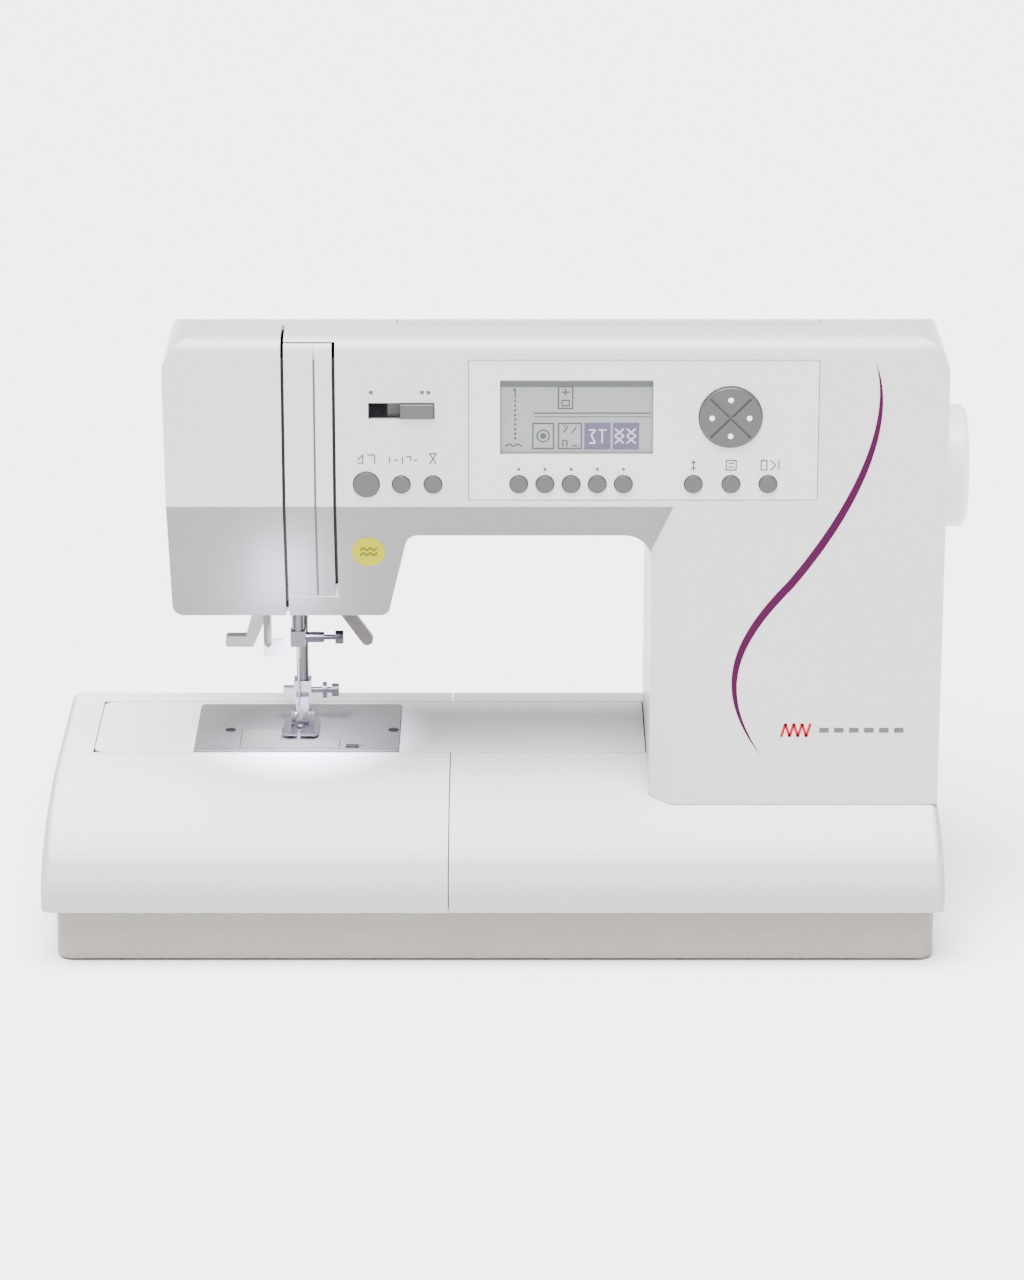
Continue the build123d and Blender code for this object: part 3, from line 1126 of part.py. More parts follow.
with BuildPart() as speed_slider:
    knob_x = (KNOB_LEFT, SLIDER_X[1] - GAP)
    knob_z = (SLIDER_Z[0] + GAP, SLIDER_Z[1] - GAP)
    block(knob_x, (BODY_FRONT - KNOB_PROUD, FLANGE_Y[0]), knob_z)
    fillet(speed_slider.edges().group_by(Axis.Y)[0], radius=0.8)
    block((knob_x[0] - 6, knob_x[1] + 3), FLANGE_Y, (knob_z[0] - 4, knob_z[1] + 4))
speed_slider.part.label = "speed_slider"
export_step(speed_slider.part, "parts/speed_slider.step")

# ================================================================ right side
with BuildPart() as power_inlet:
    inlet_mouth = BODY_RIGHT - 0.5
    block(
        (BODY_RIGHT - INLET_DEPTH - INLET_WALL, inlet_mouth),
        (INLET_Y[0] + 0.3, INLET_Y[1] - 0.3),
        (INLET_Z[0] + 0.3, INLET_Z[1] - 0.3),
    )
    block(
        (BODY_RIGHT - INLET_DEPTH, inlet_mouth + 1),
        (INLET_Y[0] + INLET_WALL, INLET_Y[1] - INLET_WALL),
        (INLET_Z[0] + INLET_WALL, INLET_Z[1] - INLET_WALL),
        mode=Mode.SUBTRACT,
    )
    for y in (INLET_Y[0] + CONTACT_INSET, INLET_Y[1] - CONTACT_INSET):
        rod_x(
            (BODY_RIGHT - INLET_DEPTH, BODY_RIGHT - INLET_WALL),
            y,
            (INLET_Z[0] + INLET_Z[1]) / 2,
            CONTACT_R,
        )
power_inlet.part.label = "power_inlet"
export_step(power_inlet.part, "parts/power_inlet.step")

with BuildPart() as power_switch:
    switch_z = (SWITCH_Z[0] + SWITCH_Z[1]) / 2
    with BuildSketch(Plane.XZ.offset(-(SWITCH_Y[1] - GAP))):
        with BuildLine():
            Polyline(
                (BODY_RIGHT - ROCKER_DEPTH, switch_z - ROCKER_HALF / 2),
                (BODY_RIGHT - 0.2, switch_z - ROCKER_HALF),
                (BODY_RIGHT + 0.4, switch_z),
                (BODY_RIGHT + 1.8, switch_z + ROCKER_HALF),
                (BODY_RIGHT - ROCKER_DEPTH, switch_z + ROCKER_HALF / 2),
                close=True,
            )
        make_face()
    extrude(amount=SWITCH_Y[1] - SWITCH_Y[0] - 2 * GAP)
power_switch.part.label = "power_switch"
export_step(power_switch.part, "parts/power_switch.step")
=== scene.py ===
"""Finishes, printed marks, small trim and studio for a free-arm sewing machine.

Everything is in metres in the machine's own frame: +X to the handwheel, -Y to
the user, +Z up, the origin on the table under the middle of the machine.
"""

import math

import bpy
import numpy as np
from bpy.props import FloatProperty, FloatVectorProperty, IntProperty, PointerProperty
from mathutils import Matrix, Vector


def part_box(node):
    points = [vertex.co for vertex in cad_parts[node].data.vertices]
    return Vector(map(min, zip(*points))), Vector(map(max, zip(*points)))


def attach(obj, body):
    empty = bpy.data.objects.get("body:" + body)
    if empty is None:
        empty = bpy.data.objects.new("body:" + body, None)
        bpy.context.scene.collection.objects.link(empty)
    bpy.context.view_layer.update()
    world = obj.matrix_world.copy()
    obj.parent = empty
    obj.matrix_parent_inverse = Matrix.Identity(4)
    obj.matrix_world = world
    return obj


bl_info = {
    "name": "Sewing Machine Finish",
    "version": (1, 0, 0),
    "blender": (4, 5, 0),
    "location": "View3D > Sidebar > Sewing Machine",
    "description": "Finishes, printed marks, trim and studio for the sewing machine",
    "category": "Object",
}

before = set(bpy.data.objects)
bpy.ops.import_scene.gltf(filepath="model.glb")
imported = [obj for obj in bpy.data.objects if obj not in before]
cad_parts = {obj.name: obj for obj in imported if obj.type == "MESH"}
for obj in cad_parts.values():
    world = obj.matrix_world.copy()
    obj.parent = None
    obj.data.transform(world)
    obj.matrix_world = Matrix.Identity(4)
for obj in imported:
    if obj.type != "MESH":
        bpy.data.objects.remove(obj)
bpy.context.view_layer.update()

MM = 0.001
CASTING = "body"

# front of the covers
FACE_Y = -51.0 * MM
CREASE_Z = 217.0 * MM
CREASE_SLOPE = 0.33
COLUMN_EDGE = 78.0 * MM

# printed marks: thickness of ink, its gap to the face, and the width of a symbol's lines in mm
PRINT = 0.12 * MM
LIFT = 0.03 * MM
SYMBOL_LINE = 0.55

# curved line: how fast it tapers, and the width left at its tips
LINE_TAPER = 0.8
LINE_TIP = 0.02 * MM

# stitch badge and the dashes after it
BADGE_Z = 104.5 * MM
BADGE_X = (131.0 * MM, 145.0 * MM)
BADGE_RISE = 3.4 * MM
BADGE_LINE = 1.3 * MM
BADGE_CORNERS = 8
DASHES = 6
DASH_START = 151.5 * MM
DASH_PITCH = 7.2 * MM
DASH = (4.6 * MM, 2.4 * MM)

# round label and the two waves on it
LABEL_X = -66.7 * MM
LABEL_Z = 192.0 * MM
LABEL_R = 8.0 * MM
WAVE_REACH = 4.2
WAVE_ROWS = (-1.4, 1.4)
WAVE_HEIGHT = 0.7
WAVE_TURN = 1.9
WAVE_LINE = 0.9

# thread slots: painted shade as a dark sheet behind them, and painted shade along the seam between
# them
SLOT_X = -94.3 * MM
SLOT_SPAN = 30.0 * MM
SLOT_FOOT = 163.0 * MM
SLOT_HEAD = 289.0 * MM
SLOT_SHADE_BACK = 4.2 * MM
SLOT_SHADE_THICK = 0.5 * MM
SEAM_X = -91.4 * MM
SEAM_WIDTH = 0.7 * MM

# symbols, as paths in mm about a point some mm above each key's centre
COVER_SYMBOLS = {
    "start_stop_key": (
        12.6,
        [[(-4, -2), (-1.6, -2), (-1.6, 2), (-4, -0.6)], [(0.6, 2), (4, 2), (4, -2.4)]],
    ),
    "reverse_key": (
        12.0,
        [
            [(-5.4, 1.6), (-5.4, -1.6)],
            [(-3.4, 0), (-1.2, 0)],
            [(0.6, 1.8), (0.6, -1.8)],
            [(2.4, 1.8), (4.6, 1.8), (4.6, -0.6)],
            [(5.8, 0), (7.8, 0)],
        ],
    ),
    "needle_position_key": (
        12.6,
        [[(-1.6, 2.6), (1.6, -2.6)], [(1.6, 2.6), (-1.6, -2.6)], [(-1.6, 2.6), (1.6, 2.6)]],
    ),
}
PANEL_RISE = 9.4
PANEL_SYMBOLS = {
    "function_key_1": [
        [(0, 2.8), (0, -2.8)],
        [(-1.2, 1.4), (1.2, 1.4)],
        [(-1.2, -1.4), (1.2, -1.4)],
    ],
    "function_key_2": [[(-1.4, 0.9), (1.4, 0.9)], [(-1.4, -0.9), (1.4, -0.9)]],
    "function_key_3": [[(1, 2.4), (3.6, 0)], [(3.6, 0), (1, -2.4)], [(5, 2.4), (5, -2.4)]],
}
PANEL_BOXES = {"function_key_2": (0, 5.2, 5.2), "function_key_3": (-2, 3.2, 5.2)}
SOFT_KEYS = 5
SOFT_KEY_DOT = (7.4 * MM, 0.75 * MM)
SLIDER_DOTS = (-64.6 * MM, -40.6 * MM, -37.6 * MM)
SLIDER_DOT = (1.8 * MM, 1.6 * MM)
SLIDER_DOT_RISE = 1.5 * MM
PAD_ARM = 8.8 * MM
PAD_DOT_R = 1.3 * MM

# display, in mm from the window's lower left corner
SEGMENT = 0.75
SHADOW_DROP = 2.4
SHADOW_HEIGHT = 2.8
BOX_ROW = 8.2
BUTTON_BOX = 20.0
STITCH_BOX = 32.6
FOOT_BOX = (30.5, 27.0)
LIT_BOXES = (45.6, 59.0)
SCREEN_THICK = 0.3 * MM
INK_THICK = 0.05 * MM
INK_DEPTH = 0.36 * MM
GLYPH_DEPTH = 0.44 * MM

# studio
FLOOR_REACH = 14.0
SUN_SPREAD = math.radians(52)
SUN_AIM = Vector((0.12, 0.28, -1))
VIOLET = (0.80, 0.72, 1.0)
NEEDLE_SPOT = Vector((-0.104, 0.024, 0.074))
LENS_OFFSET = Vector((-0.012, 0.020, -0.004))
BOUNCE_PLACE = Vector((-0.110, -0.085, 0.120))
BOUNCE_AIM = Vector((-0.110, -0.03, 0.172))
BOUNCE_POWER = 0.028
CAMERA_AIM = Vector((0.0016, -0.0355, 0.145))


# ---------------------------------------------------------------- settings
def colour(name, description, default):
    """Colour property with an RGB picker."""
    return FloatVectorProperty(
        name=name,
        description=description,
        default=default,
        subtype="COLOR",
        size=3,
        min=0.0,
        max=1.0,
    )


class ShellSettings(bpy.types.PropertyGroup):
    """Colours of the moulded covers."""

    cover: colour("Cover", "Upper covers", (0.50, 0.482, 0.478))
    bed: colour("Bed", "Bed, tray and free arm", (0.74, 0.735, 0.735))
    base: colour("Base", "Plinth under the bed", (0.235, 0.216, 0.197))
    panel: colour("Panel", "Inset control panel", (0.56, 0.545, 0.54))
    grain: FloatProperty(
        name="Grain",
        description="Height of the moulded grain",
        default=0.06 * MM,
        unit="LENGTH",
    )


class ControlSettings(bpy.types.PropertyGroup):
    """Colours of keys, marks and display."""

    key: colour("Key", "Keys and slider", (0.044, 0.0425, 0.0425))
    mark: colour("Mark", "Printed symbols", (0.10, 0.096, 0.096))
    screen: colour("Screen", "Display background", (0.185, 0.205, 0.20))
    accent: colour("Accent", "Curved line on the column", (0.048, 0.0015, 0.03))
    badge: colour("Badge", "Stitch mark", (0.35, 0.003, 0.015))
    sticker: colour("Sticker", "Round label", (0.32, 0.32, 0.0))
    stripe_width: FloatProperty(
        name="Line width",
        description="Widest part of the curved line",
        default=3.9 * MM,
        unit="LENGTH",
    )
    segments: IntProperty(
        name="Segments",
        description="Steps round a printed disc",
        default=48,
        min=12,
    )


class StudioSettings(bpy.types.PropertyGroup):
    """Camera and light."""

    distance: FloatProperty(
        name="Distance",
        description="Camera to machine",
        default=2.3,
        unit="LENGTH",
    )
    pitch: FloatProperty(
        name="Pitch",
        description="Camera elevation above the horizon",
        default=math.radians(19.0),
        subtype="ANGLE",
    )
    lens: FloatProperty(name="Lens", description="Focal length in mm", default=134.5)
    floor: colour("Floor", "Studio floor", (0.95, 0.95, 0.95))
    sky: FloatProperty(name="Sky", description="Brightness of the surroundings", default=1.0)
    overhead: FloatProperty(name="Overhead", description="Power of the light above", default=14.0)
    lamp: FloatProperty(name="Lamp", description="Power of the machine's own lamp", default=0.16)


# ---------------------------------------------------------------- finishes
def new_material(name):
    """Empty node material and its shader."""
    mat = bpy.data.materials.new(name)
    mat.use_nodes = True
    return mat, mat.node_tree.nodes["Principled BSDF"]


def object_noise(tree, scale, detail, stretch):
    """Noise over Object coordinates, drawn out by stretch."""
    place = tree.nodes.new("ShaderNodeTexCoord")
    mapping = tree.nodes.new("ShaderNodeMapping")
    mapping.inputs["Scale"].default_value = stretch
    noise = tree.nodes.new("ShaderNodeTexNoise")
    noise.inputs["Scale"].default_value = scale
    noise.inputs["Detail"].default_value = detail
    tree.links.new(place.outputs["Object"], mapping.inputs["Vector"])
    tree.links.new(mapping.outputs["Vector"], noise.inputs["Vector"])
    return noise


def shade_spread(tree, shader, base, spread, scale, stretch=(1, 1, 1)):
    """Base colour wanders between a darker and a lighter tone."""
    noise = object_noise(tree, scale, detail=3.0, stretch=stretch)
    ramp = tree.nodes.new("ShaderNodeValToRGB")
    dark, light = ramp.color_ramp.elements
    dark.position, light.position = 0.3, 0.7
    dark.color = tuple(c * (1 - spread) for c in base) + (1,)
    light.color = tuple(min(1, c * (1 + spread)) for c in base) + (1,)
    tree.links.new(noise.outputs["Fac"], ramp.inputs["Fac"])
    tree.links.new(ramp.outputs["Color"], shader.inputs["Base Color"])


def rough_spread(tree, shader, low, high, scale, stretch=(1, 1, 1)):
    """Roughness wanders between low and high."""
    noise = object_noise(tree, scale, detail=5.0, stretch=stretch)
    span = tree.nodes.new("ShaderNodeMapRange")
    span.inputs["To Min"].default_value = low
    span.inputs["To Max"].default_value = high
    tree.links.new(noise.outputs["Fac"], span.inputs["Value"])
    tree.links.new(span.outputs["Result"], shader.inputs["Roughness"])


def relief(tree, shader, scale, height, stretch=(1, 1, 1)):
    """Bump of the given height from noise."""
    noise = object_noise(tree, scale, detail=2.0, stretch=stretch)
    bump = tree.nodes.new("ShaderNodeBump")
    bump.inputs["Strength"].default_value = 0.35
    bump.inputs["Distance"].default_value = height
    tree.links.new(noise.outputs["Fac"], bump.inputs["Height"])
    tree.links.new(bump.outputs["Normal"], shader.inputs["Normal"])


def painted_shade_by_facing(tree, shader, low, high, depth):
    """Painted shade: base colour keeps its strength where a face's upward share is high or
    more, and loses depth of it at low or less, so faces turned away from up are painted darker."""
    facing = tree.nodes.new("ShaderNodeNewGeometry")
    parts = tree.nodes.new("ShaderNodeSeparateXYZ")
    span = tree.nodes.new("ShaderNodeMapRange")
    scale = tree.nodes.new("ShaderNodeVectorMath")
    scale.operation = "SCALE"
    span.inputs["From Min"].default_value = low
    span.inputs["From Max"].default_value = high
    span.inputs["To Min"].default_value = 1 - depth
    tone = shader.inputs["Base Color"].links[0].from_socket
    tree.links.new(facing.outputs["Normal"], parts.inputs["Vector"])
    tree.links.new(parts.outputs["Z"], span.inputs["Value"])
    tree.links.new(tone, scale.inputs[0])
    tree.links.new(span.outputs["Result"], scale.inputs["Scale"])
    tree.links.new(scale.outputs["Vector"], shader.inputs["Base Color"])


def plastic(
    name, base, rough=(0.28, 0.38), grain=0.03 * MM, grain_scale=1400, coat=0.15, facing_shade=None
):
    """Moulded plastic: fine grain, slight tone drift, thin gloss; optional painted shade on faces
    turned away from up.
    """
    mat, shader = new_material(name)
    tree = mat.node_tree
    shade_spread(tree, shader, base, spread=0.018, scale=14)
    # painted shade: base colour darkened on faces turned away from up
    if facing_shade:
        painted_shade_by_facing(tree, shader, *facing_shade)
    rough_spread(tree, shader, *rough, scale=60)
    relief(tree, shader, grain_scale, grain)
    shader.inputs["Coat Weight"].default_value = coat
    shader.inputs["Coat Roughness"].default_value = 0.25
    return mat


def metal(name, base, rough=(0.2, 0.35), stretch=(1, 1, 1), scale=300, height=0.01 * MM):
    """Bare metal; stretch draws its brush marks along one axis."""
    mat, shader = new_material(name)
    tree = mat.node_tree
    shader.inputs["Metallic"].default_value = 1.0
    shade_spread(tree, shader, base, spread=0.08, scale=scale, stretch=stretch)
    rough_spread(tree, shader, *rough, scale=scale, stretch=stretch)
    relief(tree, shader, scale, height, stretch)
    return mat


def clear(name, base, alpha, rough=(0.05, 0.12)):
    """Clear sheet that lets what is behind show."""
    mat, shader = new_material(name)
    tree = mat.node_tree
    shade_spread(tree, shader, base, spread=0.02, scale=20)
    rough_spread(tree, shader, *rough, scale=120)
    shader.inputs["Alpha"].default_value = alpha
    return mat


def ink(name, base, rough=(0.35, 0.5)):
    """Screen-printed ink."""
    mat, shader = new_material(name)
    tree = mat.node_tree
    shade_spread(tree, shader, base, spread=0.05, scale=400)
    rough_spread(tree, shader, *rough, scale=500)
    shader.inputs["Specular IOR Level"].default_value = 0.08
    return mat


def paint(mat, *nodes):
    """Gives CAD nodes a finish."""
    for name in nodes:
        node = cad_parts[name]
        if not node.data.materials:
            node.data.materials.append(mat)
        for spot in node.material_slots:
            spot.material = mat


# ---------------------------------------------------------------- surfaces
def front_y(x, z):
    """Front of the covers: upright, and sloping back under the crease left of the column."""
    sloping = (z < CREASE_Z) & (x < COLUMN_EDGE)
    return np.where(sloping, FACE_Y + CREASE_SLOPE * (CREASE_Z - z), FACE_Y)


def level(y):
    """Lay of a mark on an upright flat face at y."""
    return lambda x, z: np.full_like(x, y)


def behind_front(depth):
    """Lay at the covers' front moved back by depth."""
    return lambda x, z: front_y(x, z) + depth


def mesh_object(name, points, faces, mat, body=CASTING, smooth=False):
    """Mesh from arrays with its material, ridden on a body."""
    mesh = bpy.data.meshes.new(name)
    mesh.from_pydata(points.tolist(), [], faces)
    mesh.update()
    piece = bpy.data.objects.new(name, mesh)
    bpy.context.scene.collection.objects.link(piece)
    mesh.materials.append(mat)
    mesh.polygons.foreach_set("use_smooth", np.full(len(mesh.polygons), smooth))
    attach(piece, body)
    return piece


def printed(name, outlines, mat, lay=front_y, body=CASTING, thick=PRINT):
    """Outlines in XZ carried along Y: each is a closed ring at lay(x, z) and the
    same ring thick nearer the user, with both ends capped."""
    points = []
    faces = []
    start = 0
    for ring in outlines:
        x, z = ring[:, 0], ring[:, 1]
        area = np.sum(x * np.roll(z, -1) - np.roll(x, -1) * z)
        if area < 0:
            x, z = x[::-1], z[::-1]
        n = len(x)
        y = lay(x, z) - LIFT
        points.append(np.stack([x, y - thick, z], axis=1))
        points.append(np.stack([x, y, z], axis=1))
        step = np.arange(n)
        after = (step + 1) % n
        sides = np.stack([start + step, start + n + step, start + n + after, start + after], axis=1)
        faces.append((start + step).tolist())
        faces.append((start + n + step[::-1]).tolist())
        faces.extend(sides.tolist())
        start += 2 * n
    return mesh_object(name, np.concatenate(points), faces, mat, body)


def disc(x, z, r, n=20):
    """Circle x + r cos a, z + r sin a."""
    a = np.linspace(0, 2 * np.pi, n, endpoint=False)
    return np.stack([x + r * np.cos(a), z + r * np.sin(a)], axis=1)


def bar(x, z, w, h):
    """Rectangle w by h about (x, z)."""
    return np.array([(-1, -1), (1, -1), (1, 1), (-1, 1)]) * (w / 2, h / 2) + (x, z)


def frame_bars(x, z, w, h, line):
    """Four bars that make a rectangle's outline."""
    return [
        bar(x, z + (h - line) / 2, w, line),
        bar(x, z - (h - line) / 2, w, line),
        bar(x - (w - line) / 2, z, line, h - 2 * line),
        bar(x + (w - line) / 2, z, line, h - 2 * line),
    ]


def stroke(path, width):
    """Ribbon about a path: path plus and minus half the width along its normal."""
    run = np.gradient(path, axis=0)
    run /= np.linalg.norm(run, axis=1, keepdims=True)
    side = np.stack([-run[:, 1], run[:, 0]], axis=1) * (width / 2)[:, None]
    return np.concatenate([path + side, (path - side)[::-1]])


def strokes(x, z, line, *paths):
    """One ribbon, line wide, for each straight run of the paths, which start from (x, z)."""
    ribbons = []
    for path in paths:
        for head, tail in zip(path, path[1:]):
            ribbons.append(stroke(np.array([head, tail], float) + (x, z), np.full(2, line)))
    return ribbons


def placed(rings, x, z):
    """Rings drawn in mm, moved to (x, z)."""
    return [ring * MM + (x, z) for ring in rings]


def cubic(p, n=40):
    """Bezier curve (1-t)^3 a + 3(1-t)^2 t b + 3(1-t) t^2 c + t^3 d."""
    t = np.linspace(0, 1, n)[:, None]
    a, b, c, d = (np.array(q, float) for q in p)
    return (1 - t) ** 3 * a + 3 * (1 - t) ** 2 * t * b + 3 * (1 - t) * t**2 * c + t**3 * d


def tube(name, path, radii, mat, body=CASTING, around=20):
    """Round section r(u) carried along a path, with closed ends:
    P(u, v) = path(u) + r(u) (cos v side + sin v rise)."""
    run = np.gradient(path, axis=0)
    run /= np.linalg.norm(run, axis=1, keepdims=True)
    guide = np.where(np.abs(run[:, :1]) > 0.8, [[0.0, 1.0, 0.0]], [[1.0, 0.0, 0.0]])
    side = np.cross(run, guide)
    side /= np.linalg.norm(side, axis=1, keepdims=True)
    rise = np.cross(run, side)
    v = np.linspace(0, 2 * np.pi, around, endpoint=False)
    ring = np.cos(v)[None, :, None] * side[:, None] + np.sin(v)[None, :, None] * rise[:, None]
    grid = path[:, None] + radii[:, None, None] * ring
    rows = len(path)
    i, j = np.meshgrid(np.arange(rows - 1), np.arange(around), indexing="ij")
    k = (j + 1) % around
    quads = np.stack(
        [i * around + j, i * around + k, (i + 1) * around + k, (i + 1) * around + j], axis=-1
    )
    faces = quads.reshape(-1, 4).tolist()
    faces.append(list(range(around))[::-1])
    faces.append([(rows - 1) * around + m for m in range(around)])
    return mesh_object(name, grid.reshape(-1, 3), faces, mat, body, smooth=True)


def span(node):
    """Low and high corner of a node as arrays."""
    low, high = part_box(node)
    return np.array(low), np.array(high)


def middle(node):
    """Centre of a node's box as an (x, z) pair."""
    low, high = span(node)
    return (low[0] + high[0]) / 2, (low[2] + high[2]) / 2


# ---------------------------------------------------------------- printed pieces
def accent_line(look):
    """Curved line down the column: two Bezier curves end to end, as wide as
    stripe_width sin(pi t)^LINE_TAPER + LINE_TIP."""
    upper = cubic([(172.3, 287), (181, 262), (169, 222), (134, 178)])
    lower = cubic([(134, 178), (106, 148), (99, 124), (121, 92)])
    path = np.concatenate([upper, lower[1:]]) * MM
    t = np.linspace(0, 1, len(path))
    width = look.stripe_width * np.sin(np.pi * t) ** LINE_TAPER + LINE_TIP
    printed("accent_line", [stroke(path, width)], ink("accent_plum", look.accent))


def stitch_badge(look):
    """Zig-zag of straight bars, and a row of dashes to its right."""
    x = np.linspace(*BADGE_X, BADGE_CORNERS)
    z = BADGE_Z + BADGE_RISE * np.where(np.arange(BADGE_CORNERS) % 2, 1, -1)
    corners = np.stack([x, z], axis=1)
    bars = strokes(0, 0, BADGE_LINE, corners)
    printed("stitch_badge", bars, ink("badge_red", look.badge))
    dashes = [bar(DASH_START + DASH_PITCH * i, BADGE_Z, *DASH) for i in range(DASHES)]
    printed("badge_dashes", dashes, ink("badge_grey", look.mark))


def round_label(look):
    """Disc with two waves on it, each z = row + WAVE_HEIGHT sin(WAVE_TURN u)."""
    label = disc(LABEL_X, LABEL_Z, LABEL_R, look.segments)
    printed("round_label", [label], ink("label_yellow", look.sticker))
    u = np.linspace(-WAVE_REACH, WAVE_REACH, 24)
    waves = []
    for row in WAVE_ROWS:
        ripple = np.stack([u, row + WAVE_HEIGHT * np.sin(WAVE_TURN * u)], axis=1)
        waves.append(stroke(ripple, np.full(len(u), WAVE_LINE)))
    waves = placed(waves, LABEL_X, LABEL_Z)
    olive = ink("label_mark", (0.10, 0.11, 0.01))
    printed("label_waves", waves, olive, lay=behind_front(-PRINT - LIFT))


def upright_strips(x, width, foot):
    """Two strips from foot to SLOT_HEAD that meet at the crease, so that each stays flat."""
    return [
        bar(x, (foot + CREASE_Z) / 2, width, CREASE_Z - foot),
        bar(x, (CREASE_Z + SLOT_HEAD) / 2, width, SLOT_HEAD - CREASE_Z),
    ]


def slot_and_seam_shade():
    """Painted shade: a dark sheet behind the thread slots, and a dark line along the seam in the
    strip between them.
    """
    dark = plastic("slot_shadow", (0.035, 0.028, 0.024), rough=(0.6, 0.8), coat=0)
    # painted shade: a dark sheet set behind the slots where their inside is in shade
    slot_shade_strips = upright_strips(SLOT_X, SLOT_SPAN, SLOT_FOOT)
    lay = behind_front(SLOT_SHADE_BACK)
    printed("slot_painted_shade", slot_shade_strips, dark, lay=lay, thick=SLOT_SHADE_THICK)
    # painted shade in the seam's groove, as a thin dark line
    seam = upright_strips(SEAM_X, SEAM_WIDTH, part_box("thread_channel_cover")[0][2])
    brown = ink("seam_shade_ink", (0.10, 0.085, 0.078))
    printed("seam_painted_shade", seam, brown)


def cover_symbols(mark):
    """Symbols over the three keys of the arm, and the dots over the speed slider."""
    rings = []
    for key, (rise, paths) in COVER_SYMBOLS.items():
        x, z = middle(key)
        rings += placed(strokes(0, rise, SYMBOL_LINE, *paths), x, z)
    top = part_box("speed_slider")[1][2] + SLIDER_DOT_RISE
    rings += [bar(x, top, *SLIDER_DOT) for x in SLIDER_DOTS]
    printed("cover_symbols", rings, mark)


def panel_symbols(mark):
    """Dots over the keys under the display, and symbols over the function keys."""
    rise, r = SOFT_KEY_DOT
    rings = []
    for i in range(SOFT_KEYS):
        x, z = middle("soft_key_%d" % (i + 1))
        rings.append(disc(x, z + rise, r, 16))
    for key, paths in PANEL_SYMBOLS.items():
        x, z = middle(key)
        drawn = strokes(0, PANEL_RISE, SYMBOL_LINE, *paths)
        if key in PANEL_BOXES:
            shift, w, h = PANEL_BOXES[key]
            drawn += frame_bars(shift, PANEL_RISE, w, h, SYMBOL_LINE)
        rings += placed(drawn, x, z)
    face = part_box("control_panel")[0][1]
    printed("panel_symbols", rings, mark, lay=level(face))


def pad_dots():
    """Four dots, one on each arm of the direction pad."""
    x, z = middle("direction_pad")
    arms = ((0, 1), (0, -1), (1, 0), (-1, 0))
    dots = [disc(x + dx * PAD_ARM, z + dz * PAD_ARM, PAD_DOT_R) for dx, dz in arms]
    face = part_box("direction_pad")[0][1]
    white = ink("dot_white", (0.8, 0.8, 0.78))
    printed("pad_dots", dots, white, lay=level(face), body="pad")


def display_layer(name, rings, mat, depth=INK_DEPTH, thick=INK_THICK):
    """Rings drawn in mm from the window's lower left corner, at depth before the board."""
    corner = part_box("lcd_window")[0]
    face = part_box("display_board")[0][1]
    rings = placed(rings, corner[0], corner[2])
    printed(name, rings, mat, lay=level(face - depth), thick=thick)


def display_back(look):
    """Grey-green screen and the shadow under the window's top edge."""
    low, high = span("lcd_window")
    w, _, h = (high - low) / MM
    screen = ink("screen_grey_green", look.screen, (0.3, 0.4))
    display_layer("display_screen", [bar(w / 2, h / 2, w, h)], screen, depth=0, thick=SCREEN_THICK)
    shade = ink("screen_shadow", (0.03, 0.032, 0.035))
    display_layer("display_shadow", [bar(w / 2, h - SHADOW_DROP, w, SHADOW_HEIGHT)], shade)


def gauge():
    """Column of nine short bars with a stroke above it and a wave below it."""
    rings = [bar(6.8, 7 + 2.3 * i, 1.0, 1.2) for i in range(9)]
    rings += strokes(6.8, 29, SEGMENT, [(-1.2, 1.4), (0, 2.6), (0, -2.2)])
    rings += strokes(6, 3, SEGMENT, [(-4, 0), (-2, 1.4), (0, 0), (2, 1.4), (4, 0)])
    return rings


def rules():
    """The two long lines that part the display's halves."""
    return [bar(43, 19.4, 55, SEGMENT), bar(43, 17.6, 55, SEGMENT * 0.6)]


def button_box():
    """Boxed dot with a ring of radius 2.9 round it."""
    a = np.linspace(0, 2 * np.pi, 25)
    halo = np.stack([BUTTON_BOX + 2.9 * np.cos(a), BOX_ROW + 2.9 * np.sin(a)], axis=1)
    rings = frame_bars(BUTTON_BOX, BOX_ROW, 10.5, 13, SEGMENT)
    return rings + [disc(BUTTON_BOX, BOX_ROW, 1.5), stroke(halo, np.full(len(a), SEGMENT))]


def stitch_box():
    """Boxed slanting strokes over an arch and a dash."""
    rings = frame_bars(STITCH_BOX, BOX_ROW, 11.5, 13, SEGMENT)
    slants = ([(-3, -1), (-1, 2)], [(1, -1.4), (3, 1.6)], [(-3, 2), (-2, 2)])
    arch = [(-3.4, -2), (-3.4, 1), (-1.4, 1), (-1.4, -2)]
    rings += strokes(STITCH_BOX, 11, SEGMENT, *slants)
    return rings + strokes(STITCH_BOX, 5, SEGMENT, arch, [(1, -1.6), (3.6, -1.6)])


def foot_box():
    """Boxed cross over a small rectangle."""
    x, z = FOOT_BOX
    plate = [(-1.8, 1.2), (1.8, 1.2), (1.8, -1.4), (-1.8, -1.4), (-1.8, 1.2)]
    rings = frame_bars(x, z, 7.4, 11.4, SEGMENT)
    rings += strokes(x, z + 2.6, SEGMENT, [(-1.8, 0), (1.8, 0)], [(0, -1.6), (0, 1.6)])
    return rings + strokes(x, z - 2.6, SEGMENT, plate)


def lit_glyphs():
    """Pale strokes on the two lit boxes: a hook and a T, then two crosses."""
    hook = [(-4, 3), (-1, 3), (-3, 0.4), (-1, -3.4), (-4, -3.4)]
    cross = ([(-2, 3.6), (2.2, 0), (-2, -3.6)], [(2.2, 3.6), (-2, 0), (2.2, -3.6)])
    first = LIT_BOXES[0]
    rings = strokes(first, BOX_ROW, SEGMENT, hook, [(2.2, 3), (2.2, -3.4)], [(0.6, 3), (4.2, 3)])
    for x in (55.8, 61.4):
        rings += strokes(x, BOX_ROW, SEGMENT, *cross)
    return rings


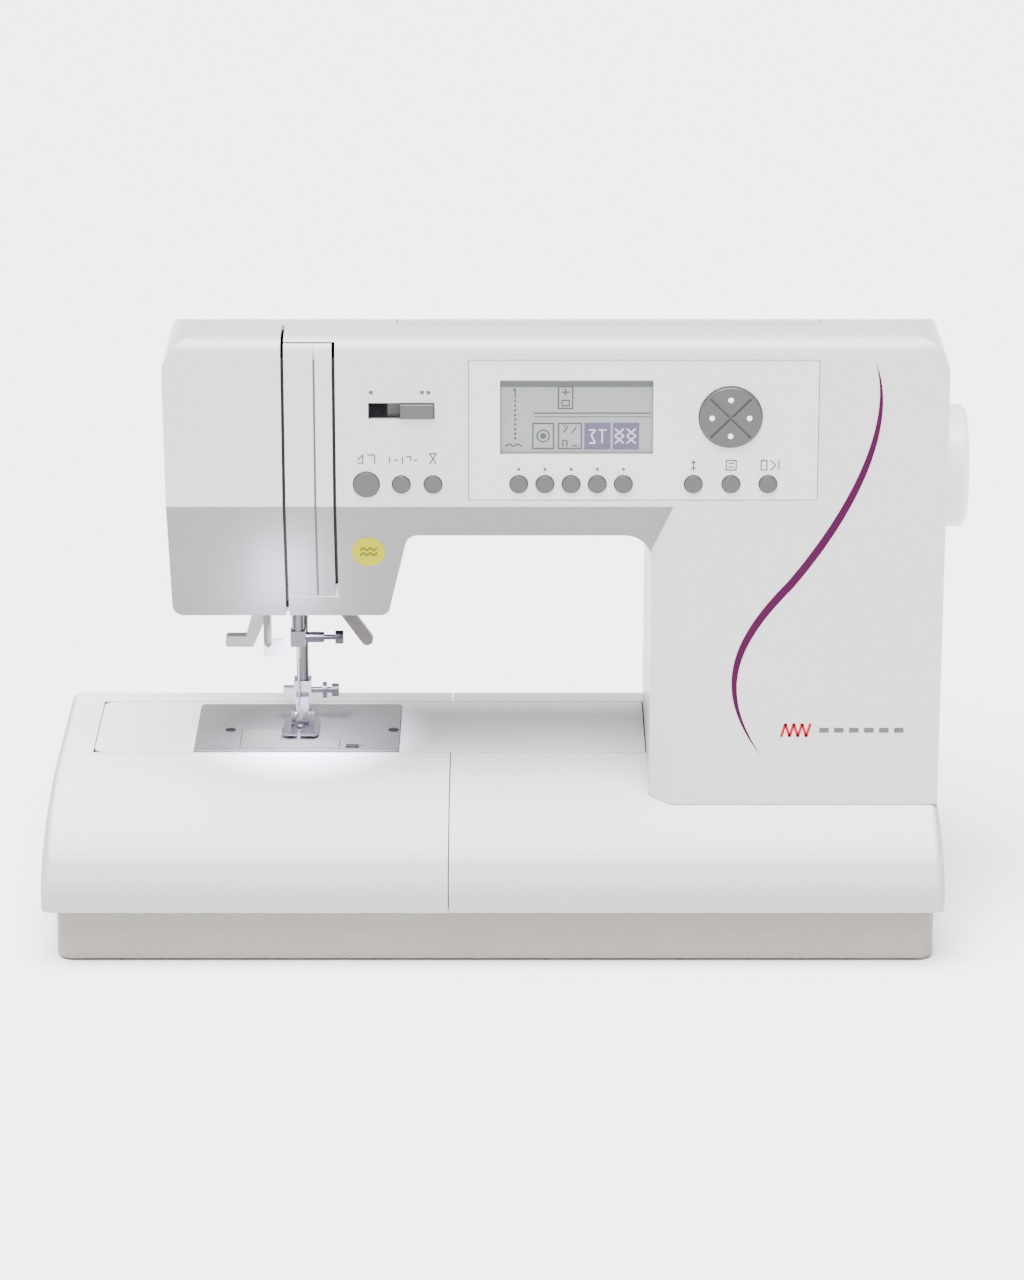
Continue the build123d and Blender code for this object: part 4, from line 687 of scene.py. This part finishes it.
# ---------------------------------------------------------------- small trim
def buttonhole_lever():
    """Stem that leans right as it goes down: radius 1.5 + t^4 mm, ends rounded by
    sqrt(1 - (2t - 1)^12)."""
    t = np.linspace(0, 1, 24)
    path = np.stack([-119.5 + 1.8 * t, 4 + 0 * t, 170 - 44 * t + 1.5 * t**2], axis=1) * MM
    radii = (1.5 + t**4) * MM * np.clip(np.sqrt(1 - (2 * t - 1) ** 12), 0.05, 1)
    grey = plastic("buttonhole_lever_grey", (0.13, 0.118, 0.115), rough=(0.4, 0.55))
    tube("buttonhole_lever", path, radii, grey)


def thread_guide():
    """Wire stem with an open loop at its foot: centre + (2.6 cos a, 0.8 a, 3 sin a) mm."""
    x, y, z = -112.5, 24.0, 152.0
    rx, rz, lead, wire_r = 2.6, 3.0, 0.8, 0.5 * MM
    a = np.linspace(0, 1.7 * np.pi, 48)
    loop = np.stack([x + rx * np.cos(a), y + lead * a, z + rz * np.sin(a)], axis=1)
    down = np.linspace(z + 10, z + 0.4, 8)
    stem = np.stack([np.full(8, x + rx), np.full(8, y), down], axis=1)
    wire = np.concatenate([stem, loop]) * MM
    steel = metal("guide_wire", (0.55, 0.55, 0.56), scale=900)
    tube("thread_guide", wire, np.full(len(wire), wire_r), steel, around=12)


# ---------------------------------------------------------------- studio
def studio_floor(look):
    """Pale flat floor on which the machine stands."""
    mesh = bpy.data.meshes.new("floor")
    corners = np.array([(-1, -1, 0), (1, -1, 0), (1, 1, 0), (-1, 1, 0)]) * FLOOR_REACH
    mesh.from_pydata(corners.tolist(), [], [(0, 1, 2, 3)])
    floor = bpy.data.objects.new("floor", mesh)
    bpy.context.scene.collection.objects.link(floor)
    mat, shader = new_material("studio_floor")
    shader.inputs["Base Color"].default_value = (*look.floor, 1)
    shader.inputs["Roughness"].default_value = 0.9
    mesh.materials.append(mat)


def surroundings(look):
    """Even white light from all round."""
    world = bpy.data.worlds.new("studio")
    world.use_nodes = True
    background = world.node_tree.nodes["Background"]
    background.inputs["Color"].default_value = (1, 1, 1, 1)
    background.inputs["Strength"].default_value = look.sky
    bpy.context.scene.world = world


def add_light(light, place, aim):
    """Puts a light at place, pointed along aim."""
    lamp = bpy.data.objects.new(light.name, light)
    lamp.location = place
    lamp.rotation_euler = aim.to_track_quat("-Z", "Y").to_euler()
    bpy.context.scene.collection.objects.link(lamp)


def overhead_light(look):
    """Broad soft light from above and a little in front."""
    sun = bpy.data.lights.new("overhead_light", "SUN")
    sun.energy = look.overhead
    sun.angle = SUN_SPREAD
    add_light(sun, Vector((0, 0, 0)), SUN_AIM)


def violet_light(name, place, target, size, power, spread):
    """Small square light in the lamp's colour, from place to target."""
    light = bpy.data.lights.new(name, "AREA")
    light.size = size
    light.energy = power
    light.color = VIOLET
    light.spread = math.radians(spread)
    add_light(light, place, target - place)


def camera(look):
    """Camera in front of the machine, looking down by pitch."""
    lens = bpy.data.cameras.new("camera")
    lens.lens = look.lens
    lens.sensor_width = 36.0
    lens.clip_end = 60.0
    eye = bpy.data.objects.new("camera", lens)
    away = Vector((0, -math.cos(look.pitch), math.sin(look.pitch))) * look.distance
    eye.location = CAMERA_AIM + away
    eye.rotation_euler = (math.pi / 2 - look.pitch, 0, 0)
    bpy.context.scene.collection.objects.link(eye)
    bpy.context.scene.camera = eye


# ---------------------------------------------------------------- operators
class SEWING_OT_covers(bpy.types.Operator):
    """Finish the upper covers and lid"""

    bl_idname = "sewing.covers"
    bl_label = "Upper covers"

    def execute(self, context):
        look = context.scene.sewing_shell
        # painted shade on the covers' downward faces, such as the head's underside below the crease
        finish = plastic("warm_grey_cover", look.cover, grain=look.grain, facing_shade=(-0.30, -0.02, 0.66))
        paint(finish, "front_cover", "rear_cover", "face_cover", "thread_channel_cover", "top_lid")
        wheel = plastic("handwheel_white", look.bed, rough=(0.3, 0.4))
        paint(wheel, "handwheel")
        return {"FINISHED"}


class SEWING_OT_bed(bpy.types.Operator):
    """Finish the bed, tray, free arm, plinth and feet"""

    bl_idname = "sewing.bed"
    bl_label = "Bed and base"

    def execute(self, context):
        look = context.scene.sewing_shell
        # painted shade that darkens the bed's front as it curves down
        white = plastic(
            "bed_white", look.bed, (0.5, 0.6), look.grain, coat=0, facing_shade=(0.78, 0.99, 0.52)
        )
        paint(white, "bed_cover", "extension_tray", "free_arm_cover")
        coarse = 0.1 * MM
        base = plastic("plinth_grey", look.base, (0.45, 0.6), coarse, grain_scale=900, coat=0)
        paint(base, "base_plinth")
        rubber = plastic("foot_rubber", (0.03, 0.03, 0.032), (0.7, 0.85), coarse, coat=0)
        paint(rubber, "rubber_feet", "timing_belt", "motor_belt")
        return {"FINISHED"}


class SEWING_OT_metalwork(bpy.types.Operator):
    """Finish the plate, bars, shafts, foot and casting"""

    bl_idname = "sewing.metalwork"
    bl_label = "Metalwork"

    def execute(self, context):
        brushed = metal("plate_brushed_steel", (0.42, 0.42, 0.425), (0.42, 0.6), (1, 22, 1), 420)
        paint(brushed, "needle_plate")
        ground = metal("ground_steel", (0.13, 0.12, 0.14), (0.25, 0.38), (1, 1, 0.06), 900)
        paint(ground, "needle_bar", "presser_bar", "rotary_hook")
        turned = metal("turned_steel", (0.52, 0.52, 0.53), (0.25, 0.38), (0.05, 1, 1), 900)
        paint(turned, "main_shaft", "lower_shaft", "crank_disc", "motor_pulley")
        plated = metal("plated_steel", (0.40, 0.385, 0.42), (0.15, 0.28), scale=600)
        paint(plated, "needle", "take_up_lever", "presser_foot", "foot_holder", "feed_dog")
        screw = metal("screw_gunmetal", (0.06, 0.058, 0.065), (0.3, 0.45), scale=600)
        paint(screw, "plate_screws", "clamp_screw")
        cast = metal("cast_aluminium", (0.45, 0.45, 0.46), (0.5, 0.7), scale=700, height=0.15 * MM)
        paint(cast, "machine_frame", "connecting_rod")
        return {"FINISHED"}


class SEWING_OT_dark_parts(bpy.types.Operator):
    """Finish the dark mouldings and small grey levers"""

    bl_idname = "sewing.dark_parts"
    bl_label = "Dark parts"

    def execute(self, context):
        black = plastic("satin_black", (0.022, 0.022, 0.024), rough=(0.35, 0.5), coat=0.1)
        paint(black, "bobbin_case", "cover_latch", "drive_motor", "power_inlet", "power_switch")
        paint(black, "foot_screw")
        wheel = plastic("pulley_black", (0.04, 0.04, 0.045), rough=(0.4, 0.55), coat=0)
        paint(wheel, "drive_pulleys", "lower_pulley")
        lever = plastic("lifter_grey", (0.12, 0.105, 0.10), rough=(0.45, 0.6))
        paint(lever, "presser_lifter")
        pale = plastic("threader_pale", (0.34, 0.31, 0.325), rough=(0.4, 0.5))
        paint(pale, "needle_threader", "spool_pin")
        return {"FINISHED"}


class SEWING_OT_clear_parts(bpy.types.Operator):
    """Finish the display window, bobbin, its cover and the lamp lens"""

    bl_idname = "sewing.clear_parts"
    bl_label = "Clear parts"

    def execute(self, context):
        paint(clear("display_glass", (0.75, 0.80, 0.78), 0.05), "lcd_window")
        smoked = clear("bobbin_cover_smoked", (0.155, 0.15, 0.125), 0.88, (0.3, 0.4))
        paint(smoked, "bobbin_cover")
        paint(clear("bobbin_clear", (0.72, 0.76, 0.80), 0.55), "bobbin")
        lens, shader = new_material("lamp_lens_frosted")
        shade_spread(lens.node_tree, shader, (0.86, 0.82, 0.98), spread=0.03, scale=200)
        rough_spread(lens.node_tree, shader, 0.4, 0.6, scale=300)
        shader.inputs["Emission Color"].default_value = (*VIOLET, 1)
        shader.inputs["Emission Strength"].default_value = 4.0
        paint(lens, "lamp_lens")
        return {"FINISHED"}


class SEWING_OT_controls(bpy.types.Operator):
    """Finish the panel, keys, pad, slider and board"""

    bl_idname = "sewing.controls"
    bl_label = "Controls"

    def execute(self, context):
        look = context.scene.sewing_controls
        shell = context.scene.sewing_shell
        paint(plastic("panel_overlay", shell.panel, rough=(0.3, 0.42)), "control_panel")
        keys = plastic("key_grey", look.key, rough=(0.42, 0.55), grain=0.05 * MM)
        names = [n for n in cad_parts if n.endswith("_key") or "_key_" in n]
        paint(keys, "direction_pad", "speed_slider", *names)
        board = plastic("board_green", (0.05, 0.14, 0.07), rough=(0.4, 0.6), grain=0.08 * MM)
        paint(board, "display_board")
        return {"FINISHED"}


class SEWING_OT_accent(bpy.types.Operator):
    """Add the curved line, stitch badge, round label and the painted shade in the slots and along
    their seam
    """

    bl_idname = "sewing.accent"
    bl_label = "Accent and badge"

    def execute(self, context):
        look = context.scene.sewing_controls
        accent_line(look)
        stitch_badge(look)
        round_label(look)
        slot_and_seam_shade()
        return {"FINISHED"}


class SEWING_OT_key_marks(bpy.types.Operator):
    """Add printed symbols over the keys, slider marks and pad dots"""

    bl_idname = "sewing.key_marks"
    bl_label = "Key marks"

    def execute(self, context):
        mark = ink("symbol_grey", context.scene.sewing_controls.mark)
        cover_symbols(mark)
        panel_symbols(mark)
        pad_dots()
        return {"FINISHED"}


class SEWING_OT_display(bpy.types.Operator):
    """Add the display's background and its segments"""

    bl_idname = "sewing.display"
    bl_label = "Display"

    def execute(self, context):
        display_back(context.scene.sewing_controls)
        segments = gauge() + rules() + button_box() + stitch_box() + foot_box()
        display_layer("display_segments", segments, ink("segment_dark", (0.004, 0.003, 0.008)))
        blocks = [bar(x, BOX_ROW, 12.4, 13.2) for x in LIT_BOXES]
        display_layer("display_blocks", blocks, ink("segment_violet", (0.022, 0.008, 0.075)))
        pale = ink("segment_pale", (0.42, 0.42, 0.50))
        display_layer("display_glyphs", lit_glyphs(), pale, depth=GLYPH_DEPTH)
        return {"FINISHED"}


class SEWING_OT_levers(bpy.types.Operator):
    """Add the small buttonhole lever and thread guide under the head"""

    bl_idname = "sewing.levers"
    bl_label = "Small levers"

    def execute(self, context):
        buttonhole_lever()
        thread_guide()
        return {"FINISHED"}


class SEWING_OT_stage(bpy.types.Operator):
    """Add floor, lights and camera"""

    bl_idname = "sewing.stage"
    bl_label = "Studio"

    def execute(self, context):
        look = context.scene.sewing_studio
        studio_floor(look)
        surroundings(look)
        overhead_light(look)
        lens = Vector(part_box("lamp_lens")[0]) + LENS_OFFSET
        violet_light("sewing_lamp", lens, NEEDLE_SPOT, 0.014, look.lamp, spread=75)
        violet_light("plate_bounce", BOUNCE_PLACE, BOUNCE_AIM, 0.03, BOUNCE_POWER, spread=80)
        camera(look)
        return {"FINISHED"}


STEPS = (
    SEWING_OT_covers,
    SEWING_OT_bed,
    SEWING_OT_metalwork,
    SEWING_OT_dark_parts,
    SEWING_OT_clear_parts,
    SEWING_OT_controls,
    SEWING_OT_accent,
    SEWING_OT_key_marks,
    SEWING_OT_display,
    SEWING_OT_levers,
    SEWING_OT_stage,
)


class SEWING_PT_panel(bpy.types.Panel):
    """Lists the steps and settings"""

    bl_idname = "SEWING_PT_panel"
    bl_label = "Sewing Machine"
    bl_space_type = "VIEW_3D"
    bl_region_type = "UI"
    bl_category = "Sewing Machine"

    def draw(self, context):
        for step in STEPS:
            self.layout.operator(step.bl_idname)
        for name in GROUPS:
            group = getattr(context.scene, name)
            box = self.layout.box()
            for key in group.__annotations__:
                box.prop(group, key)


GROUPS = {
    "sewing_shell": ShellSettings,
    "sewing_controls": ControlSettings,
    "sewing_studio": StudioSettings,
}


def register():
    """Adds the classes and the scene's settings."""
    for name, group in GROUPS.items():
        bpy.utils.register_class(group)
        setattr(bpy.types.Scene, name, PointerProperty(type=group))
    for step in STEPS:
        bpy.utils.register_class(step)
    bpy.utils.register_class(SEWING_PT_panel)


def unregister():
    """Takes away what register added."""
    bpy.utils.unregister_class(SEWING_PT_panel)
    for step in reversed(STEPS):
        bpy.utils.unregister_class(step)
    for name, group in GROUPS.items():
        delattr(bpy.types.Scene, name)
        bpy.utils.unregister_class(group)


def main():
    """Runs every step."""
    register()
    for step in STEPS:
        family, action = step.bl_idname.split(".")
        getattr(getattr(bpy.ops, family), action)()


if __name__ == "__main__":
    main()
